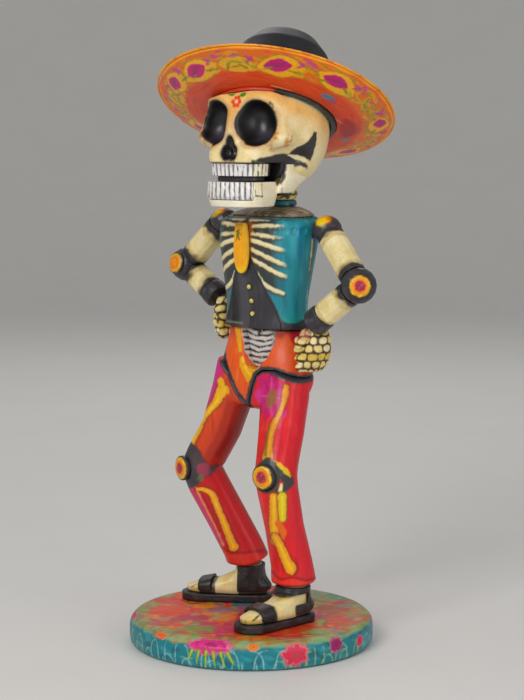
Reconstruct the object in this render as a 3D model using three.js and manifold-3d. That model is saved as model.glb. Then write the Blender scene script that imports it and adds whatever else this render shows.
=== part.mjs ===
// A papier-mache catrin: a standing skeleton in a sombrero, an open vest and trousers, hands on hips, on a
// round painted base. Paper shells and pressed paper limbs sit on bent wires and dowels. The head turns on a
// peg in the neck, and the hat lifts off the skull.
// Millimetres, +Z up, the figure faces -Y and its left hand is at +X. The origin is the middle of the base's
// underside.
import * as THREE from "three";
import { mergeVertices } from "three/addons/utils/BufferGeometryUtils.js";
import Module from "manifold-3d";

const wasm = await Module();
wasm.setup();

// Driving dimensions.
const GAP = 0.3; // clearance between pieces that touch
const BASE_RADIUS = 76.5;
const BASE_HEIGHT = 17;
const SOLE_THICK = 5;
const HEM_HEIGHT = 42; // where the trouser legs end
const CROTCH = { x: 1, z: 148.6 }; // the point of the trouser seat, in the front view
const VEST_HEM = 197;
const VEST_WALL = 2.2;
const COLLAR_HEIGHT = 265.5; // the underside of the collar
const NECK = new THREE.Vector3(0, 28, 270); // the head turns about the upright through this point
const HEAD_TURN = THREE.MathUtils.degToRad(7);
const SKULL_CENTRE = new THREE.Vector3(0, -14, 52); // from NECK, in the head's own frame
const HAT_AXIS = new THREE.Vector3(-0.132, 0.442, 0.887).normalize(); // in the head's own frame
const HAT_SEAT = 2.5; // height of the ledge on the skull, along HAT_AXIS from HAT_CENTRE
const HAT_CENTRE = new THREE.Vector3(1.45, -12.85, 52); // on the hat's axis, in the head's own frame
const SWEATBAND = { inner: 35.8, outer: 39 }; // radii
const BRIM_RADIUS = 73;
const BRIM_RISE = 8; // how much higher the rim is than the brim's inner edge
const BRIM_THICK = 2.4;
const LEG_WIRE = 1.5; // radius
const ARM_WIRE = 1.1; // radius
const PEG_RADIUS = 3;
const ELBOW_RADIUS = 11;
const KNEECAP_RADIUS = 8;

const paint = (colour, roughness = 0.45) =>
  new THREE.MeshStandardMaterial({ color: colour, roughness, metalness: 0 });
const PAINTS = {
  bone: paint(0xe8d9a6),
  black: paint(0x2e2a2d, 0.35),
  teal: paint(0x2a8f98),
  red: paint(0xe0413a),
  orange: paint(0xec6b35),
  gold: paint(0xf2ab22),
  meadow: paint(0x5d8f52),
  ashen: paint(0x857a6a, 0.6),
  white: paint(0xe9e6dd),
  wood: paint(0xb98d5a, 0.8),
};
const STEEL = new THREE.MeshStandardMaterial({ color: 0x8a8d90, roughness: 0.4, metalness: 0.9 });

const v3 = (x, y, z) => new THREE.Vector3(x, y, z);

// ---- From three.js geometry to closed solids and back.

function solid(geometry) {
  const bare = geometry.clone();
  bare.deleteAttribute("normal");
  bare.deleteAttribute("uv");
  const merged = mergeVertices(bare, 1e-3);
  const triVerts = new Uint32Array(merged.index.array);
  return new wasm.Manifold(
    new wasm.Mesh({ numProp: 3, vertProperties: merged.attributes.position.array, triVerts }),
  );
}

function geometryOf(manifold) {
  const mesh = manifold.getMesh();
  const points = new Float32Array(mesh.numVert * 3);
  for (let i = 0; i < mesh.numVert; i++) {
    const from = i * mesh.numProp;
    points.set(mesh.vertProperties.subarray(from, from + 3), i * 3);
  }
  const geometry = new THREE.BufferGeometry();
  geometry.setAttribute("position", new THREE.BufferAttribute(points, 3));
  geometry.setIndex(new THREE.BufferAttribute(mesh.triVerts, 1));
  geometry.computeVertexNormals();
  return geometry;
}

const cut = (body, ...tools) => tools.reduce((left, tool) => left.subtract(tool), body);
const join = (body, ...more) => more.reduce((whole, piece) => whole.add(piece), body);

function named(name, shape, material, parent) {
  const geometry = shape.isBufferGeometry ? shape : geometryOf(shape);
  const mesh = new THREE.Mesh(geometry, material);
  mesh.name = name;
  parent.add(mesh);
  return mesh;
}

// A cylinder along +Z, from one height to another.
function upright(radius, from, to, sides = 24) {
  const geometry = new THREE.CylinderGeometry(radius, radius, to - from, sides);
  return geometry.rotateX(Math.PI / 2).translate(0, 0, (from + to) / 2);
}

// A box between two corners.
function block(low, high) {
  const size = v3(...high).sub(v3(...low));
  const middle = v3(...low).addScaledVector(size, 0.5);
  return new THREE.BoxGeometry(size.x, size.y, size.z).translate(middle.x, middle.y, middle.z);
}

// Everything between two heights.
const slice = (from, to) => solid(block([-100, -100, from], [100, 100, to]));

// Turns a profile of [radius, height] points about +Z.
function turned(profile, sides) {
  const points = profile.map(([radius, height]) => new THREE.Vector2(radius, height));
  return new THREE.LatheGeometry(points, sides).rotateX(Math.PI / 2);
}

// A closed tube through rings, listed from the top down. Each ring has a centre, a half width to the side and
// a half depth to the front. boxy is 2 for an ellipse and more for a squarer section.
function loft(rings, { sides = 20, boxy = 2, aside = v3(1, 0, 0), level = false } = {}) {
  const last = rings.length - 1;
  const geometry = new THREE.CylinderGeometry(1, 1, 1, sides, last);
  const place = geometry.attributes.position;
  const bulge = (x) => Math.sign(x) * Math.abs(x) ** (2 / boxy);
  const frames = rings.map((ring, i) => {
    const above = rings[Math.max(i - 1, 0)].at;
    const below = rings[Math.min(i + 1, last)].at;
    const up = level ? v3(0, 0, 1) : above.clone().sub(below).normalize();
    const side = aside.clone().addScaledVector(up, -aside.dot(up)).normalize();
    return { side, front: side.clone().cross(up) };
  });
  for (let i = 0; i < place.count; i++) {
    const row = Math.round((0.5 - place.getY(i)) * last);
    const ring = rings[row];
    const off = frames[row];
    const point = ring.at
      .clone()
      .addScaledVector(off.side, ring.wide * bulge(place.getX(i)))
      .addScaledVector(off.front, ring.deep * bulge(place.getZ(i)));
    place.setXYZ(i, point.x, point.y, point.z);
  }
  return geometry;
}

const ring = (x, y, z, wide, deep = wide) => ({ at: v3(x, y, z), wide, deep });
const grown = (rings, by) => rings.map((r) => ({ ...r, wide: r.wide + by, deep: r.deep + by }));

// A bent wire of six sides along a smooth line through points.
function wire(points, radius, steps) {
  const section = new THREE.Shape();
  for (let i = 0; i < 6; i++) {
    const turn = (i * Math.PI) / 3;
    const corner = [radius * Math.cos(turn), radius * Math.sin(turn)];
    if (i === 0) section.moveTo(...corner);
    else section.lineTo(...corner);
  }
  const path = new THREE.CatmullRomCurve3(points.map((p) => v3(...p)), false, "centripetal");
  return new THREE.ExtrudeGeometry(section, { steps, bevelEnabled: false, extrudePath: path });
}

const figure = new THREE.Group();

// ---- Wires and dowels, which the other pieces are bored for.

const LEGS = {
  right: {
    side: -1,
    ankle: [-21.5, 20.8],
    toes: v3(-0.825, -0.565, 0),
    knee: [-52, -10.2, 103.5],
    kneeFaces: v3(-0.21, -0.978, 0),
    path: [
      ring(-21, 12, 172, 16, 15),
      ring(-25, 10, 156, 15, 14),
      ring(-34, 7.5, 130, 13.4, 13),
      ring(-43.5, 3.5, 112, 12.8, 13),
      ring(-47, 1.5, 104, 13.2, 13.5),
      ring(-44, 4.5, 94, 12.8, 13),
      ring(-35, 11, 74, 13, 12.8),
      ring(-25.5, 18, 52, 13, 13),
      ring(-22.5, 20.5, HEM_HEIGHT, 14, 13.6),
    ],
  },
  left: {
    side: 1,
    ankle: [36.5, 1],
    toes: v3(-0.09, -0.996, 0),
    knee: [34.6, -24.2, 110.6],
    kneeFaces: v3(0.156, -0.988, 0),
    path: [
      ring(19.5, 12, 172, 16, 15),
      ring(21.5, 8, 156, 15, 14),
      ring(26, 0, 134, 14, 13),
      ring(31, -8.5, 118, 12.6, 12.6),
      ring(33, -12, 110, 12.4, 13),
      ring(33.6, -10.5, 100, 11.6, 12.6),
      ring(34.6, -6, 78, 11.6, 11.6),
      ring(35.6, -0.5, 54, 12.6, 12.4),
      ring(36, 1, HEM_HEIGHT, 13.6, 13.4),
    ],
  },
};

const ARMS = {
  right: {
    side: -1,
    shoulder: v3(-45, 20.7, 260.5),
    elbow: v3(-75, 16.2, 231.5),
    wrist: v3(-47.5, 17.5, 212.5),
    fist: v3(-40.5, 20.5, 199),
    elbowFaces: v3(-0.09, -0.98, 0.15),
  },
  left: {
    side: 1,
    shoulder: v3(44.7, 20.5, 258.5),
    elbow: v3(79, 11.2, 227),
    wrist: v3(46, 8.5, 202.5),
    fist: v3(41.5, 10.5, 185.5),
    elbowFaces: v3(0.72, -0.69, 0.05),
  },
};

function legWire({ side, ankle, path }, radius) {
  const along = path.slice(1, -1).map(({ at }) => at.toArray());
  return wire([[side * 12, 15, 184], ...along, [...ankle, 34], [...ankle, 5]], radius, 13);
}

function armWire({ side, shoulder, elbow, wrist, fist }, radius) {
  const along = [v3(side * 24, 20, 250), shoulder, elbow, wrist, fist];
  return wire(along.map((p) => p.toArray()), radius, 8);
}

// Dowels: one up the small of the back, and the peg that the head turns on.
const SPINE_Y = 14;
const spineDowel = (clear) => upright(PEG_RADIUS + clear, 172 - clear, 236 + clear, 10).translate(0, SPINE_Y, 0);
const neckPeg = (clear) => upright(PEG_RADIUS + clear, 240 - clear, 304 + clear, 16).translate(0, NECK.y, 0);

const bores = [
  ...Object.values(LEGS).map((leg) => solid(legWire(leg, LEG_WIRE + 0.4))),
  ...Object.values(ARMS).map((arm) => solid(armWire(arm, ARM_WIRE + 0.4))),
  solid(spineDowel(0.35)),
  solid(neckPeg(0.35)),
];
const bored = (shape) => cut(shape, ...bores);

// The same for a shape in a group's own frame.
function boredIn(group, shape) {
  group.updateWorldMatrix(true, false);
  const inverse = group.matrixWorld.clone().invert().elements;
  return cut(shape, ...bores.map((bore) => bore.transform([...inverse])));
}

for (const [name, leg] of Object.entries(LEGS)) {
  named(`${name}_leg_wire`, legWire(leg, LEG_WIRE), STEEL, figure);
  named(`${name}_arm_wire`, armWire(ARMS[name], ARM_WIRE), STEEL, figure);
}
named("spine_dowel", spineDowel(0), PAINTS.wood, figure);
named("neck_peg", neckPeg(0), PAINTS.wood, figure);

// ---- The base, with a rounded edge.

function base() {
  const round = 6;
  const profile = [[0, 0], [BASE_RADIUS - 2, 0], [BASE_RADIUS - 0.5, 1.6], [BASE_RADIUS, 5]];
  for (let i = 0; i <= 3; i++) {
    const turn = (i * Math.PI) / 6;
    const out = BASE_RADIUS - round + round * Math.cos(turn);
    profile.push([out, BASE_HEIGHT - round + round * Math.sin(turn)]);
  }
  profile.push([0, BASE_HEIGHT]);
  return solid(turned(profile, 48));
}
named("base_disc", bored(base()), PAINTS.meadow, figure);

// ---- Feet and sandals, each with its ankle over the group's origin and its toes towards the group's -Y.

const TOES_AHEAD = 45; // from the ankle to the tip of the sole
const HEEL_BEHIND = 14;

// A flat slab with the sole's outline, round at the heel and wider at the toes.
function soleSlab(extra, from, to) {
  const outline = new THREE.Shape();
  outline.absarc(0, 11.5 - TOES_AHEAD, 11.5 + extra, Math.PI, 2 * Math.PI, false);
  outline.absarc(0, HEEL_BEHIND - 9, 9 + extra, 0, Math.PI, false);
  const pull = { depth: to - from, bevelEnabled: false, curveSegments: 10 };
  return solid(new THREE.ExtrudeGeometry(outline, pull).translate(0, 0, from));
}

function sandal(name, leg) {
  const stand = new THREE.Group();
  stand.position.set(...leg.ankle, BASE_HEIGHT + GAP);
  stand.rotation.z = Math.atan2(leg.toes.x, -leg.toes.y);
  figure.add(stand);
  const floor = SOLE_THICK + GAP;
  const top = HEM_HEIGHT - BASE_HEIGHT - 2 * GAP;
  const bone = [
    ring(0, -0.5, top, 8.2, 8),
    ring(0, -1.5, 19, 8, 8.6),
    ring(0, -6, 14.5, 8.4, 14),
    ring(0, -12, 11.5, 9, 22),
    ring(0, -15, 9, 9.4, 27),
    ring(0, -15.3, floor, 9, 26.2),
  ];
  const above = solid(block([-20, -60, floor], [20, 30, top]));
  const bony = (extra) => {
    const shape = loft(grown(bone, extra), { sides: 18, boxy: 2.4, level: true });
    return solid(shape.translate(0, 0, extra * 0.8)).intersect(above);
  };
  const room = bony(GAP);

  named(`${name}_sandal_sole`, boredIn(stand, soleSlab(0, 0, SOLE_THICK)), PAINTS.black, stand);
  named(`${name}_foot`, boredIn(stand, bony(0)), PAINTS.bone, stand);
  const across = solid(block([-20, -33, 0], [20, -24, 60]));
  named(`${name}_sandal_strap`, cut(bony(2).intersect(across), room), PAINTS.black, stand);
  // The right sandal's heel is tall and black. The left one is low, with a strap round the ankle.
  const behind = solid(block([-20, -7, 0], [20, 40, leg.side < 0 ? 60 : 13]));
  const round = solid(block([-20, -40, 19], [20, 40, 23.5]));
  const heel = bony(2.2).intersect(leg.side < 0 ? behind : join(behind, round));
  const open = leg.side < 0 ? heel : join(heel, bony(2.2).intersect(solid(block([-20, 4, 0], [20, 40, 23.5]))));
  named(`${name}_sandal_heel`, cut(open, room), PAINTS.black, stand);
}
for (const [name, leg] of Object.entries(LEGS)) sandal(name, leg);

// ---- Trousers: a seat with its pointed front, and two legs that meet it along the hip line.

const HIPS = [
  ring(0, 14, VEST_HEM - 2 * GAP, 28, 14),
  ring(0, 14, 188, 29.5, 15),
  ring(0, 14, 174, 33.5, 18),
  ring(0, 13, 162, 35, 18.6),
  ring(0, 11, 150, 28, 15),
  ring(0, 11, 146, 18, 9),
];

// The front view's outline, pulled through the figure from front to back.
function frontPrism(corners, from, to) {
  const outline = new THREE.Shape(corners.map(([x, z]) => new THREE.Vector2(x, z)));
  const geometry = new THREE.ExtrudeGeometry(outline, { depth: to - from, bevelEnabled: false });
  return solid(geometry.rotateX(Math.PI / 2).translate(0, to, 0));
}

// Everything over the hip line, which slants down from the right hip to a point at the crotch and is nearly
// level over the left leg.
const HIP_SEAM = [[-60, 214], [-24.2, 175.8], [-13.7, 164.6], [-7.2, 155.8], [CROTCH.x, CROTCH.z]];
HIP_SEAM.push([4.8, 158.9], [8.4, 168.8], [12.7, 171.9], [21.5, 172.2], [31.5, 168.5], [60, 157]);
const aboveHipSeam = (drop) =>
  frontPrism([[-60, 260], ...HIP_SEAM.map(([x, z]) => [x, z - drop]), [60, 260]], -60, 80);

// The notch at the front that shows the lower spine.
const FLY = [[-9.5, 210], [-8.7, 194.5], [-6, 185.6], [-3.2, 176.6], [1.7, 172], [8, 172]];
FLY.push([14.4, 178.6], [18.2, 187.5], [18.8, 196.4], [19, 210]);
const flyInset = FLY.map(([x, z]) => [5 + (x - 5) * 0.96, z + 0.4]);
const hips = solid(loft(HIPS, { sides: 24, boxy: 2.3, level: true }));
const seat = cut(hips.intersect(aboveHipSeam(0)), frontPrism(FLY, -40, 8));
named("trouser_seat", bored(seat), PAINTS.orange, figure);

const lumbar = loft([ring(4.5, 9, 198, 19, 6.4), ring(5, 9, 184, 17, 6.4), ring(5, 9, 170, 13, 6.4)], { level: true });
named("lumbar_spine", bored(solid(lumbar).intersect(frontPrism(flyInset, -40, 7.7)).intersect(slice(100, 196))), PAINTS.white, figure);

const domed = (radius, from, rise) => [
  [0, from],
  [radius, from],
  [radius, rise * 0.35],
  [radius * 0.7, rise * 0.85],
  [0, rise],
];

// A geometry made along +Z, turned to look along a direction and moved to a point.
function facing(geometry, along, at) {
  const turn = new THREE.Quaternion().setFromUnitVectors(v3(0, 0, 1), along.clone().normalize());
  return geometry.applyQuaternion(turn).translate(at.x, at.y, at.z);
}

for (const [name, leg] of Object.entries(LEGS)) {
  const inner = CROTCH.x + (leg.side * GAP) / 2;
  const half = block([Math.min(inner, leg.side * 90), -60, HEM_HEIGHT], [Math.max(inner, leg.side * 90), 80, 260]);
  const aside = v3(-leg.toes.y, leg.toes.x, 0);
  const tube = solid(loft(leg.path, { sides: 16, boxy: 2.3, aside }));
  const knee = v3(...leg.knee);
  const pocket = facing(upright(KNEECAP_RADIUS + 0.4, -2.4, 12, 20), leg.kneeFaces, knee);
  const trouser = cut(join(hips, tube), aboveHipSeam(GAP * 1.8), solid(pocket)).intersect(solid(half));
  named(`${name}_trouser_leg`, bored(trouser), PAINTS.red, figure);
  named(`${name}_kneecap`, facing(turned(domed(KNEECAP_RADIUS, -2, 2.4), 20), leg.kneeFaces, knee), PAINTS.gold, figure);
}

// ---- Torso: a paper rib cage inside an open vest, with a black front below.

const TORSO = [
  ring(0, 24, 271, 14, 11),
  ring(0, 20, 268, 25, 17),
  ring(0, 17, 262, 33, 22),
  ring(0, 15.5, 250, 33.5, 22),
  ring(0, 14.5, 230, 31, 19),
  ring(0, 14, 210, 29.5, 15.5),
  ring(0, 15, VEST_HEM, 31, 18),
];
const torso = (extra) => solid(loft(grown(TORSO, extra), { sides: 24, boxy: 2.6, level: true }));

const collarNeck = solid(upright(PEG_RADIUS + 0.35, 230, 300, 16).translate(0, NECK.y, 0));
named("collar", cut(torso(0).intersect(slice(COLLAR_HEIGHT, 280)), collarNeck), PAINTS.ashen, figure);

const vestBody = torso(0).intersect(slice(VEST_HEM - 1, COLLAR_HEIGHT - GAP));
const hollow = join(torso(-VEST_WALL), torso(-VEST_WALL).intersect(slice(VEST_HEM - 1, 200)).translate([0, 0, -2]));
const shell = cut(vestBody, hollow.intersect(slice(100, COLLAR_HEIGHT - GAP + 1)));
// The vest's two front edges part below the tie and show the waistcoat.
const VEST_EDGE = [[-23.5, 190], [23.5, 190], [23.5, 200], [7, 234], [0, 246], [-7, 234], [-23.5, 200]];
const frontPoint = (clear) =>
  frontPrism(VEST_EDGE.map(([x, z]) => [x + Math.sign(x) * clear, z + (x === 0 ? 2 * clear : 0)]), -60, 9);
named("vest_shell", bored(cut(shell, frontPoint(GAP))), PAINTS.teal, figure);

const cage = torso(-VEST_WALL - GAP).intersect(slice(VEST_HEM, COLLAR_HEIGHT - GAP));
named("ribcage", bored(cage), PAINTS.bone, figure);

const BUTTONS = { top: [1.5, 222.6], middle: [2.3, 213.8], bottom: [3, 205.9] };
const panel = shell.intersect(frontPoint(0));
const buttonSeats = [];
for (const [name, [x, z]] of Object.entries(BUTTONS)) {
  const frontAt = z > 210 ? -1.5 - ((z - 210) / 20) * 3 : -1.5 - ((210 - z) / 13) * 1.5;
  const at = v3(x, frontAt, z);
  buttonSeats.push(solid(facing(upright(1.9, -1, 6, 12), v3(0, -1, 0), at)));
  named(`vest_button_${name}`, facing(turned(domed(1.5, -0.7, 1), 10), v3(0, -1, 0), at), PAINTS.gold, figure);
}
named("waistcoat_front", cut(panel, ...buttonSeats), PAINTS.black, figure);

// The necktie hangs flat against the chest, narrow at the knot and round at its lower end.
function necktie() {
  const outline = new THREE.Shape();
  outline.moveTo(-4.6, 262);
  outline.lineTo(4.6, 262);
  outline.quadraticCurveTo(7, 248, 6, 240);
  outline.quadraticCurveTo(4.4, 231, 0, 231);
  outline.quadraticCurveTo(-4.4, 231, -6, 240);
  outline.quadraticCurveTo(-7, 248, -4.6, 262);
  const pull = { depth: 1.4, bevelThickness: 0.7, bevelSize: 0.7, bevelOffset: -0.7, bevelSegments: 1 };
  const geometry = new THREE.ExtrudeGeometry(outline, { ...pull, curveSegments: 5 });
  return geometry.rotateX(Math.PI / 2).translate(0, -7.6, 0);
}
named("tie", necktie(), PAINTS.gold, figure);

// ---- Arms: cap, upper arm, round elbow, forearm, cuff and fist.

function fist({ side, fist: at }) {
  const palm = [
    ring(at.x + side * 1.5, at.y + 3, at.z + 14, 5.5, 6.5),
    ring(at.x + side * 2.2, at.y + 2.2, at.z + 7.5, 8, 9),
    ring(at.x + side * 1.8, at.y + 1.2, at.z - 1.5, 8.6, 10.4),
    ring(at.x + side * 0.8, at.y + 1, at.z - 9, 7.4, 9.4),
    ring(at.x + side * 0.4, at.y + 1, at.z - 13, 4, 6),
  ];
  const fingers = [0, 1, 2, 3].map((i) => {
    const z = at.z + 6.5 - i * 5.6;
    const back = at.y + 9 - Math.abs(i - 1) * 1.2;
    const long = 21 - Math.abs(i - 1) * 1.8;
    const knuckles = [[0, 2.4], [0.12, 3.4], [0.5, 3.6], [0.88, 3.2], [1, 1.8]];
    const rings = knuckles.map(([part, wide]) => ring(at.x - side * 2, back - part * long, z, wide, wide * 0.9));
    return solid(loft(rings, { sides: 8, aside: v3(1, 0, 0) }));
  });
  const thumb = [
    ring(at.x + side * 1, at.y - 1, at.z + 13, 3, 3),
    ring(at.x + side * 1, at.y - 6, at.z + 10.5, 3.6, 3.4),
    ring(at.x, at.y - 10, at.z + 5, 3.2, 3),
    ring(at.x - side * 1, at.y - 11.5, at.z + 1.5, 2, 2),
  ];
  return join(solid(loft(palm, { sides: 12, boxy: 2.5, level: true })), ...fingers, solid(loft(thumb, { sides: 8 })));
}

function limb(from, to, radius, boxy = 2.5) {
  const along = [0, 0.25, 0.75, 1].map((part) => {
    const at = to.clone().lerp(from, 1 - part);
    const wide = radius * (1 + 0.06 * Math.sin(Math.PI * part));
    return { at, wide, deep: wide };
  });
  return solid(loft(along, { sides: 12, boxy, aside: v3(0, 1, 0) }));
}

const body = join(torso(GAP), solid(loft(grown(HIPS, GAP), { sides: 28, boxy: 2.3, level: true })));
for (const [name, arm] of Object.entries(ARMS)) {
  const { side, shoulder, elbow, wrist } = arm;
  const outward = arm.elbowFaces.clone().normalize();
  const ball = (extra) =>
    solid(new THREE.SphereGeometry(ELBOW_RADIUS + extra, 16, 8).rotateX(Math.PI / 2)
      .translate(elbow.x, elbow.y, elbow.z));
  const cap = (extra) => {
    const dome = new THREE.SphereGeometry(1, 14, 8).scale(9.4 + extra, 9.2 + extra, 8.8 + extra);
    return solid(dome.translate(shoulder.x, shoulder.y, shoulder.z));
  };
  const cuffTop = wrist.clone().lerp(elbow, 0.22);
  const cuff = (extra) => limb(wrist.clone().lerp(elbow, -0.02), cuffTop, 8.1 + extra, 2.3);

  named(`${name}_shoulder_cap`, bored(cut(cap(0), body)), PAINTS.black, figure);
  named(`${name}_upper_arm`, bored(cut(limb(elbow, shoulder, 7.8), cap(GAP), ball(GAP), body)), PAINTS.bone, figure);
  const flat = facing(upright(20, 8.1, 40, 8), outward, elbow);
  named(`${name}_elbow_joint`, bored(cut(ball(0), solid(flat))), PAINTS.black, figure);
  const disc = [[0, 8.4], [7.3, 8.4], [7.3, 9.2], [5.2, 10.5], [0, 11.2]];
  named(`${name}_elbow_disc`, facing(turned(disc, 16), outward, elbow), PAINTS.gold, figure);
  const fore = cut(limb(cuffTop.clone().lerp(elbow, -0.3), elbow, 7.5), limb(elbow, shoulder, 7.8 + GAP));
  const slack = limb(wrist.clone().lerp(elbow, -0.2), cuffTop.clone().lerp(elbow, 0.006), 9.2, 2.3);
  named(`${name}_forearm`, bored(cut(fore, ball(GAP), slack, body)), PAINTS.bone, figure);
  named(`${name}_wrist_cuff`, bored(cut(cuff(0), body, fist(arm).translate([0, 0, GAP]))), PAINTS.black, figure);
  const hand = cut(fist(arm), limb(wrist.clone().lerp(elbow, -0.03), cuffTop, 8.7, 2.3), body);
  named(`${name}_hand`, bored(hand), PAINTS.bone, figure);
}

// ---- Neck and head. The head's frame stands on the neck, and its face looks towards -Y.

const neckAxis = (profile, sides) => turned(profile, sides).translate(0, NECK.y, 0);
const collarTop = TORSO[0].at.z;
const neckRing = [[3.4, collarTop + GAP], [8.6, collarTop + GAP], [8.9, 273], [8.2, 275], [3.4, 275], [3.4, collarTop + GAP]];
named("neck_ring", neckAxis(neckRing, 24), PAINTS.teal, figure);

const head = new THREE.Group();
head.position.copy(NECK);
head.rotation.z = HEAD_TURN;
figure.add(head);

// The skull is a blend of rounded lumps with hollows pressed in. x is to the side, d is forward and z is up,
// from the skull's centre. An egg has three radii. A pad is a box with half sizes and one corner radius.
const egg = (at, size, blend) => ({ at, size, blend });
const pad = (at, size, corner, blend) => ({ at, size, corner, blend });
const LUMPS = [
  egg([0, 0, 0], [35.4, 35.6, 38], 0),
  egg([0, -3, 2], [35.2, 33.8, 36], 4),
  egg([0, -5, -9], [32, 34, 31.5], 5),
  pad([0, 15, -1.5], [29.5, 18.3, 12], 10, 8),
  pad([0, 24, -21], [19, 16.4, 10.5], 8, 8),
  ...[1, -1].map((s) => egg([s * 26, 23, -8], [7.5, 9.5, 5.5], 6)),
  ...[1, -1].map((s) => egg([s * 12, 28.5, 15], [11, 5.5, 4.5], 6)),
  ...[1, -1].map((s) => egg([s * 19.5, 22, 13.5], [6, 7, 6], 6)),
  egg([0, 33.5, -5], [5.5, 5.6, 13], 5),
];
const HOLLOWS = [
  ...[1, -1].map((s) => egg([s * 17, 37, -1], [11.4, 15, 11.2], 3)),
  ...[1, -1].map((s) => egg([s * 15.6, 37, 3.6], [10.4, 15, 10.2], 3)),
  ...[1, -1].map((s) => egg([s * 2.2, 42, -16.7], [3.7, 7.5, 4.7], 1.5)),
  egg([0, 42, -13], [3.2, 6.5, 6.5], 1.5),
  ...[1, -1].map((s) => egg([s * 42, 15, 6], [8, 15, 14], 6)),
  ...[1, -1].map((s) => egg([s * 32, 16, -23], [10, 15, 9], 5)),
];

// Roughly the distance from a point to a lump's surface, negative inside.
function away(p, { at, size, corner }) {
  const off = p.map((x, i) => x - at[i]);
  if (corner === undefined) {
    const near = Math.hypot(...off.map((x, i) => x / size[i]));
    const pull = Math.hypot(...off.map((x, i) => x / size[i] ** 2));
    return pull === 0 ? -Math.min(...size) : (near * (near - 1)) / pull;
  }
  const past = off.map((x, i) => Math.abs(x) - size[i] + corner);
  return Math.hypot(...past.map((x) => Math.max(x, 0))) + Math.min(Math.max(...past), 0) - corner;
}

function smoothLeast(a, b, blend) {
  const near = blend > 0 ? Math.max(blend - Math.abs(a - b), 0) / blend : 0;
  return Math.min(a, b) - near * near * blend * 0.25;
}

function skullField(p) {
  const bone = LUMPS.reduce((least, lump) => smoothLeast(least, away(p, lump), lump.blend), 1e3);
  return HOLLOWS.reduce((field, hollow) => -smoothLeast(-field, away(p, hollow), hollow.blend), bone);
}

// How far the skull's surface is from its centre along a direction.
function skullReach(u) {
  let out = 62;
  while (out > 12 && skullField(u.map((x) => x * out)) > 0) out -= 1;
  let past = out + 1;
  for (let i = 0; i < 8; i++) {
    const middle = (out + past) / 2;
    if (skullField(u.map((x) => x * middle)) > 0) past = middle;
    else out = middle;
  }
  return out;
}

function skull() {
  const geometry = new THREE.SphereGeometry(1, 56, 34);
  const place = geometry.attributes.position;
  for (let i = 0; i < place.count; i++) {
    // The meridians crowd towards the face.
    const round = Math.atan2(place.getX(i), place.getZ(i));
    const turn = round - 0.45 * Math.sin(round);
    const across = Math.hypot(place.getX(i), place.getZ(i));
    const u = [across * Math.sin(turn), across * Math.cos(turn), place.getY(i)];
    const out = skullReach(u);
    place.setXYZ(i, u[0] * out, -u[1] * out, u[2] * out);
  }
  return geometry.translate(...SKULL_CENTRE.toArray());
}

// The two jaws: square-fronted blocks, with each row of teeth set into the front.
const jawShape = (rings, extra = 0) => solid(loft(grown(rings, extra), { sides: 28, boxy: 2.9, level: true }));
const MUZZLE = [ring(0, -42, 28.5, 18.8, 12.3), ring(0, -42, 21, 18.2, 11.8)];
const JAW = [ring(0, -41, 17.5, 20, 17), ring(0, -41, 9, 20.5, 17.2), ring(0, -40.6, 2.5, 18.5, 15.6)];
const toothRoom = (wide, from, bottom, top) => solid(block([-wide, -70, bottom], [wide, -from, top]));
const mouthCore = jawShape([ring(0, -42, 20.7, 15, 9.4), ring(0, -42, 17.8, 15, 9.4)]);
named("upper_teeth", jawShape(MUZZLE), PAINTS.white, head);
named("lower_teeth", jawShape(JAW).intersect(toothRoom(17, 47, 7, 17.5)), PAINTS.white, head);
named("mouth_core", mouthCore, PAINTS.black, head);

const peg = solid(upright(PEG_RADIUS + 0.4, -40, 35, 16));
const hatRound = new THREE.Quaternion().setFromUnitVectors(v3(0, 0, 1), HAT_AXIS);
const inHat = (geometry) => geometry.applyQuaternion(hatRound).translate(...HAT_CENTRE.toArray());
const kept = join(
  solid(inHat(block([-80, -80, -90], [80, 80, HAT_SEAT]))),
  solid(inHat(upright(SWEATBAND.inner - 0.4, 0, 60, 32))),
);
const wholeSkull = solid(skull());
const mouthRoom = solid(block([-60, -80, -5], [60, -29.5, 28.5 + GAP]));
const cranium = cut(wholeSkull.intersect(kept), mouthRoom, peg);
named("cranium", cranium, PAINTS.bone, head);

const rami = [-1, 1].map((s) =>
  solid(
    loft([ring(s * 22, -16, 28, 2.6, 11), ring(s * 21.5, -17.5, 19, 3, 11.5), ring(s * 19, -25, 10.5, 3, 8)], {
      sides: 16,
      boxy: 2.6,
      level: true,
    }),
  ),
);
const lowerRoom = toothRoom(17 + GAP, 47 - GAP, 7 - GAP, 30);
const jaw = cut(join(jawShape(JAW), ...rami), lowerRoom, wholeSkull.translate([0, 0, -GAP]), wholeSkull);
named("mandible", jaw.decompose().sort((a, b) => b.volume() - a.volume())[0], PAINTS.bone, head);

const vertebra = turned([[3.4, 5.3], [8.4, 5.3], [9.4, 8.5], [8.8, 12], [7.6, 20], [3.4, 20], [3.4, 5.3]], 20);
named("neck_vertebra", cut(solid(vertebra), wholeSkull.translate([0, 0, -GAP]), wholeSkull), PAINTS.bone, head);

// ---- The sombrero, in its own frame on the skull, with its axis along +Z.

const hat = new THREE.Group();
hat.position.copy(HAT_CENTRE);
hat.quaternion.copy(hatRound);
head.add(hat);

const brimAt = 4.6; // height of the brim's inner edge
const brimSection = () => {
  const under = [];
  for (let i = 0; i <= 4; i++) {
    const part = i / 4;
    const radius = SWEATBAND.outer + GAP + part * (BRIM_RADIUS - SWEATBAND.outer - GAP);
    under.push([radius, brimAt + BRIM_RISE * part ** 1.6]);
  }
  const over = under.map(([radius, height]) => [radius, height + BRIM_THICK]).reverse();
  return [...under, ...over, under[0]];
};
named("hat_brim", turned(brimSection(), 48), PAINTS.orange, hat);

const { inner, outer } = SWEATBAND;
const band = [[inner, 3], [outer, 3], [outer, 7.6], [inner, 7.6], [inner, 3]];
named("hat_sweatband", turned(band, 40), PAINTS.black, hat);

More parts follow.
